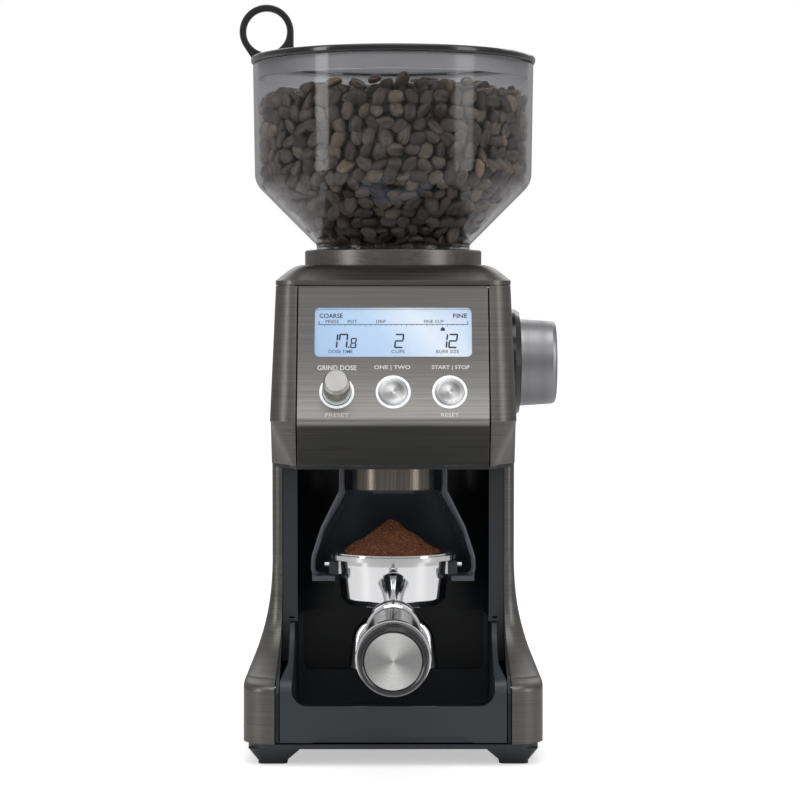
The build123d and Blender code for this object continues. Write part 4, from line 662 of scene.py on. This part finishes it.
class Marks:
    """Flat marks on the sloping panel, gathered into one thin piece."""

    def __init__(self, height):
        self.height = height
        self.points = []
        self.faces = []

    def polygon(self, corners):
        start = len(self.points)
        self.points.extend(tuple(on_panel(x, v, self.height)) for x, v in corners)
        self.faces.append(tuple(range(start, start + len(corners))))

    def bar(self, x0, v0, x1, v1):
        self.polygon([(x0, v1), (x1, v1), (x1, v0), (x0, v0)])

    def words(self, text, x0, x1, v0, v1, weight=0.02):
        """Capital letters that fill the box from x0 to x1 and from v0 to v1."""
        curve = bpy.data.curves.new("words", "FONT")
        curve.body = text
        curve.offset = weight
        curve.resolution_u = 3
        holder = bpy.data.objects.new("words", curve)
        bpy.context.scene.collection.objects.link(holder)
        bpy.context.view_layer.update()
        mesh = bpy.data.meshes.new_from_object(holder)
        xs = [vertex.co.x for vertex in mesh.vertices]
        ys = [vertex.co.y for vertex in mesh.vertices]
        across = (x1 - x0) / (max(xs) - min(xs))
        tall = (v1 - v0) / (max(ys) - min(ys))
        start = len(self.points)
        for vertex in mesh.vertices:
            x = x0 + (vertex.co.x - min(xs)) * across
            v = v1 - (vertex.co.y - min(ys)) * tall
            self.points.append(tuple(on_panel(x, v, self.height)))
        self.faces.extend(tuple(start + i for i in polygon.vertices) for polygon in mesh.polygons)
        bpy.data.objects.remove(holder)
        bpy.data.meshes.remove(mesh)
        bpy.data.curves.remove(curve)

    def digit(self, value, x0, x1, v0, v1, weight=DIGIT_WEIGHT):
        """A seven-segment digit."""
        middle = (v0 + v1) / 2
        gap = DIGIT_GAP
        half = weight / 2
        segments = {
            "a": ((x0, v0 + half), (x1, v0 + half)), "d": ((x0, v1 - half), (x1, v1 - half)),
            "g": ((x0, middle), (x1, middle)),
            "f": ((x0 + half, v0), (x0 + half, middle)), "b": ((x1 - half, v0), (x1 - half, middle)),
            "e": ((x0 + half, middle), (x0 + half, v1)), "c": ((x1 - half, middle), (x1 - half, v1)),
        }
        lit = {"1": "bc", "2": "abged", "7": "abcf", "8": "abcdefg"}[value]
        for key in lit:
            (xa, va), (xb, vb) = segments[key]
            if va == vb:
                shape = [(xa + gap + half, va - half), (xa + gap, va), (xa + gap + half, va + half),
                         (xb - gap - half, va + half), (xb - gap, va), (xb - gap - half, va - half)]
            else:
                shape = [(xa, va + gap), (xa - half, va + gap + half), (xa - half, vb - gap - half),
                         (xa, vb - gap), (xa + half, vb - gap - half), (xa + half, va + gap + half)]
            self.polygon([(x + (v1 - v) * DIGIT_LEAN, v) for x, v in shape])

    def piece(self, name, material, slot):
        mesh_piece(name, self.points, self.faces, material, "housing", smooth=False)


def panel_labels():
    """The words above and below the knob and the buttons."""
    marks = Marks(LABEL_HEIGHT)
    for text, x0, x1 in (("GRIND DOSE", -38.2, -18.5), ("ONE | TWO", -9.6, 8.6),
                         ("START | STOP", 19.4, 38.4)):
        marks.words(text, x0, x1, 43.8, 46.5)
    for text, x0, x1 in (("PRESET", -34.0, -22.2), ("RESET", 23.9, 32.9)):
        marks.words(text, x0, x1, 69.4, 71.4, FINE_WEIGHT)
    # the printed labels glow faintly though nothing lights them: painted light
    marks.piece("panel_labels", ink("label_ink_painted_glow", (0.66, 0.66, 0.65), 0.16), "light_white")


def display_marks():
    """The dark figures of the liquid-crystal display."""
    marks = Marks(FIGURE_HEIGHT)
    for text, x0, x1 in (("COARSE", -37.4, -25.6), ("FINE", 30.4, 37.6)):
        marks.words(text, x0, x1, 15.1, 17.6)
    for text, x0, x1 in (("PRESS", -34.3, -27.6), ("POT", -23.0, -18.2), ("DRIP", -8.6, -3.8),
                         ("FINE CUP", 15.6, 25.6)):
        marks.words(text, x0, x1, 18.6, 20.3, FINE_WEIGHT)
    marks.bar(-37.8, 20.95, 38.0, 21.3)
    for x in (-37.8, 37.65):
        marks.bar(x, 19.2, x + 0.35, 21.0)
    for step in range(28):
        x = -35.0 + step * 2.6
        marks.bar(x, 21.25, x + 0.22, 22.35 if step % 4 == 0 else 21.85)
    marks.polygon([(24.0, 24.6), (26.2, 24.6), (26.2, 23.4), (25.1, 22.4), (24.0, 23.4)])
    digit_top, digit_foot = 26.1, 34.0
    marks.digit("1", -32.4, -28.3, digit_top, digit_foot)
    marks.digit("7", -28.0, -23.3, digit_top, digit_foot)
    marks.bar(-22.9, 33.1, -22.1, 33.9)
    marks.digit("8", -21.9, -18.8, 28.4, digit_foot, 0.7)
    marks.digit("2", 0.3, 5.0, digit_top, digit_foot)
    marks.digit("1", 23.2, 27.2, digit_top, digit_foot)
    marks.digit("2", 27.6, 32.2, digit_top, digit_foot)
    for text, x0, x1 in (("DOSE TIME", -32.6, -20.5), ("CUPS", -0.9, 5.8), ("BURR SIZE", 21.7, 33.3)):
        marks.words(text, x0, x1, 34.9, 36.7, FINE_WEIGHT)
    marks.piece("display_marks", ink("display_ink", (0.012, 0.022, 0.06)), "display_glow")


# ---------------------------------------------------------------- guards beside the filter bowl
GUARD_INNER, GUARD_OUTER = 27.9, 32.6
GUARD_FRONT, GUARD_BACK = -63.5, -59.8
GUARD_BOTTOM, GUARD_TOP = 91.4, 98.9
GUARD_EASE, GUARD_TAPER = 0.8, 0.82


def lug_guard(side):
    """A black stop with eased corners that shields one of the bowl's two lugs."""
    inner, outer = GUARD_INNER * side, GUARD_OUTER * side
    bottom, top, ease = GUARD_BOTTOM, GUARD_TOP, GUARD_EASE
    outline = [(inner, bottom), (outer - ease * side, bottom), (outer, bottom + ease), (outer, top - ease),
               (outer - ease * side, top), (inner, top)]
    middle_x, middle_z = (inner + outer) / 2, (bottom + top) / 2
    rings = [(GUARD_BACK, 1.0), (GUARD_FRONT + ease, 1.0), (GUARD_FRONT, GUARD_TAPER)]
    points = []
    for y, share in rings:
        for x, z in outline:
            points.append(tuple(mm(middle_x + (x - middle_x) * share, y, middle_z + (z - middle_z) * share)))
    count = len(outline)
    faces = [tuple(range(count)), tuple(range(len(points) - 1, len(points) - 1 - count, -1))]
    for ring in range(len(rings) - 1):
        for index in range(count):
            after = (index + 1) % count
            low, high = ring * count, (ring + 1) * count
            faces.append((low + index, high + index, high + after, low + after))
    name = "lug_guard_left" if side < 0 else "lug_guard_right"
    mesh_piece(name, points, faces, dark_plastic, "portafilter", smooth=False)


# ---------------------------------------------------------------- stage, light and camera
FLOOR_HALF = 30.0


def stage_floor():
    """A pale floor that brightens to white away from the object."""
    shade = Shade("studio_floor", roughness=0.6)
    distance = shade.vector("LENGTH", shade.place)
    away = shade.range(distance, 0, 1, 0.25, 1.3)
    paper = shade.mix(shade.range(shade.noise(3), 0, 0.2), (0.86, 0.86, 0.86), (0.84, 0.84, 0.84))
    shade.colour(shade.mix(away, paper, (0.1, 0.1, 0.1)))
    seen = shade.mix(away, (0.5, 0.5, 0.5), (1.0, 1.0, 1.0))
    mirrored = shade.mix(away, (0.0, 0.0, 0.0), (0.22, 0.22, 0.22))
    direct = shade.node("ShaderNodeLightPath").outputs["Is Camera Ray"]
    shade.feed(shade.shader.inputs["Emission Color"], shade.mix(direct, mirrored, seen))
    shade.shader.inputs["Emission Strength"].default_value = 1.0
    mesh = bpy.data.meshes.new("studio_floor")
    corners = [(x * FLOOR_HALF, y * FLOOR_HALF, 0) for x, y in ((-1, -1), (1, -1), (1, 1), (-1, 1))]
    mesh.from_pydata(corners, [], [(0, 1, 2, 3)])
    mesh.materials.append(shade.material)
    floor = bpy.data.objects.new("studio_floor", mesh)
    bpy.context.scene.collection.objects.link(floor)


def softbox(name, place, target, size, power):
    """A white area light of a size in metres and a power in watts."""
    light = bpy.data.lights.new(name, "AREA")
    light.shape = "RECTANGLE"
    light.size, light.size_y = size
    light.energy = power
    holder = bpy.data.objects.new(name, light)
    holder.location = place
    holder.rotation_euler = (Vector(target) - Vector(place)).to_track_quat("-Z", "Y").to_euler()
    bpy.context.scene.collection.objects.link(holder)


def studio():
    """A white studio: broad soft boxes at the sides and overhead, and a graded surround."""
    aim = (0, 0, 0.19)
    softbox("box_left", (-1.25, -0.75, 0.65), aim, (0.3, 1.3), 5)
    softbox("box_right", (1.25, -0.75, 0.65), aim, (0.45, 1.3), 5)
    softbox("box_top", (0, -0.35, 1.7), aim, (1.4, 1.0), 9)
    softbox("box_front", (0.15, -1.75, 1.45), aim, (1.1, 0.5), 2.2)
    softbox("box_back", (0, 1.5, 1.1), aim, (1.8, 0.8), 6)
    world = bpy.data.worlds.new("studio")
    world.use_nodes = True
    tree = world.node_tree
    tree.nodes.clear()
    place = tree.nodes.new("ShaderNodeTexCoord")
    split = tree.nodes.new("ShaderNodeSeparateXYZ")
    tree.links.new(place.outputs["Generated"], split.inputs[0])
    span = tree.nodes.new("ShaderNodeMapRange")
    span.inputs["From Min"].default_value = -1
    tree.links.new(split.outputs["Z"], span.inputs["Value"])
    ramp = tree.nodes.new("ShaderNodeValToRGB")
    elements = ramp.color_ramp.elements
    elements.new(0.55)
    elements.new(0.75)
    for element, (position, level) in zip(elements, ((0.0, 0.12), (0.5, 0.29), (0.7, 0.5), (1.0, 0.42))):
        element.position = position
        element.color = (level, level, level * 1.02, 1)
    tree.links.new(span.outputs["Result"], ramp.inputs["Fac"])
    surround = tree.nodes.new("ShaderNodeBackground")
    tree.links.new(ramp.outputs["Color"], surround.inputs["Color"])
    backdrop = tree.nodes.new("ShaderNodeBackground")
    backdrop.inputs["Color"].default_value = (1, 1, 1, 1)
    rays = tree.nodes.new("ShaderNodeLightPath")
    mixed = tree.nodes.new("ShaderNodeMixShader")
    output = tree.nodes.new("ShaderNodeOutputWorld")
    tree.links.new(rays.outputs["Is Camera Ray"], mixed.inputs["Fac"])
    tree.links.new(surround.outputs[0], mixed.inputs[1])
    tree.links.new(backdrop.outputs[0], mixed.inputs[2])
    tree.links.new(mixed.outputs[0], output.inputs["Surface"])
    bpy.context.scene.world = world
    bpy.context.scene.view_settings.view_transform = "Standard"


def camera():
    data = bpy.data.cameras.new("camera")
    data.sensor_width = 36
    data.lens = 114
    holder = bpy.data.objects.new("camera", data)
    holder.location = (0, -1.348, 0.228)
    aim = Vector((0.0036, 0, 0.1785))
    holder.rotation_euler = (aim - holder.location).to_track_quat("-Z", "Y").to_euler()
    bpy.context.scene.collection.objects.link(holder)
    bpy.context.scene.camera = holder


camera()
studio()
stage_floor()
beans()
grounds()
panel_labels()
display_marks()
for lug_side in (-1, 1):
    lug_guard(lug_side)
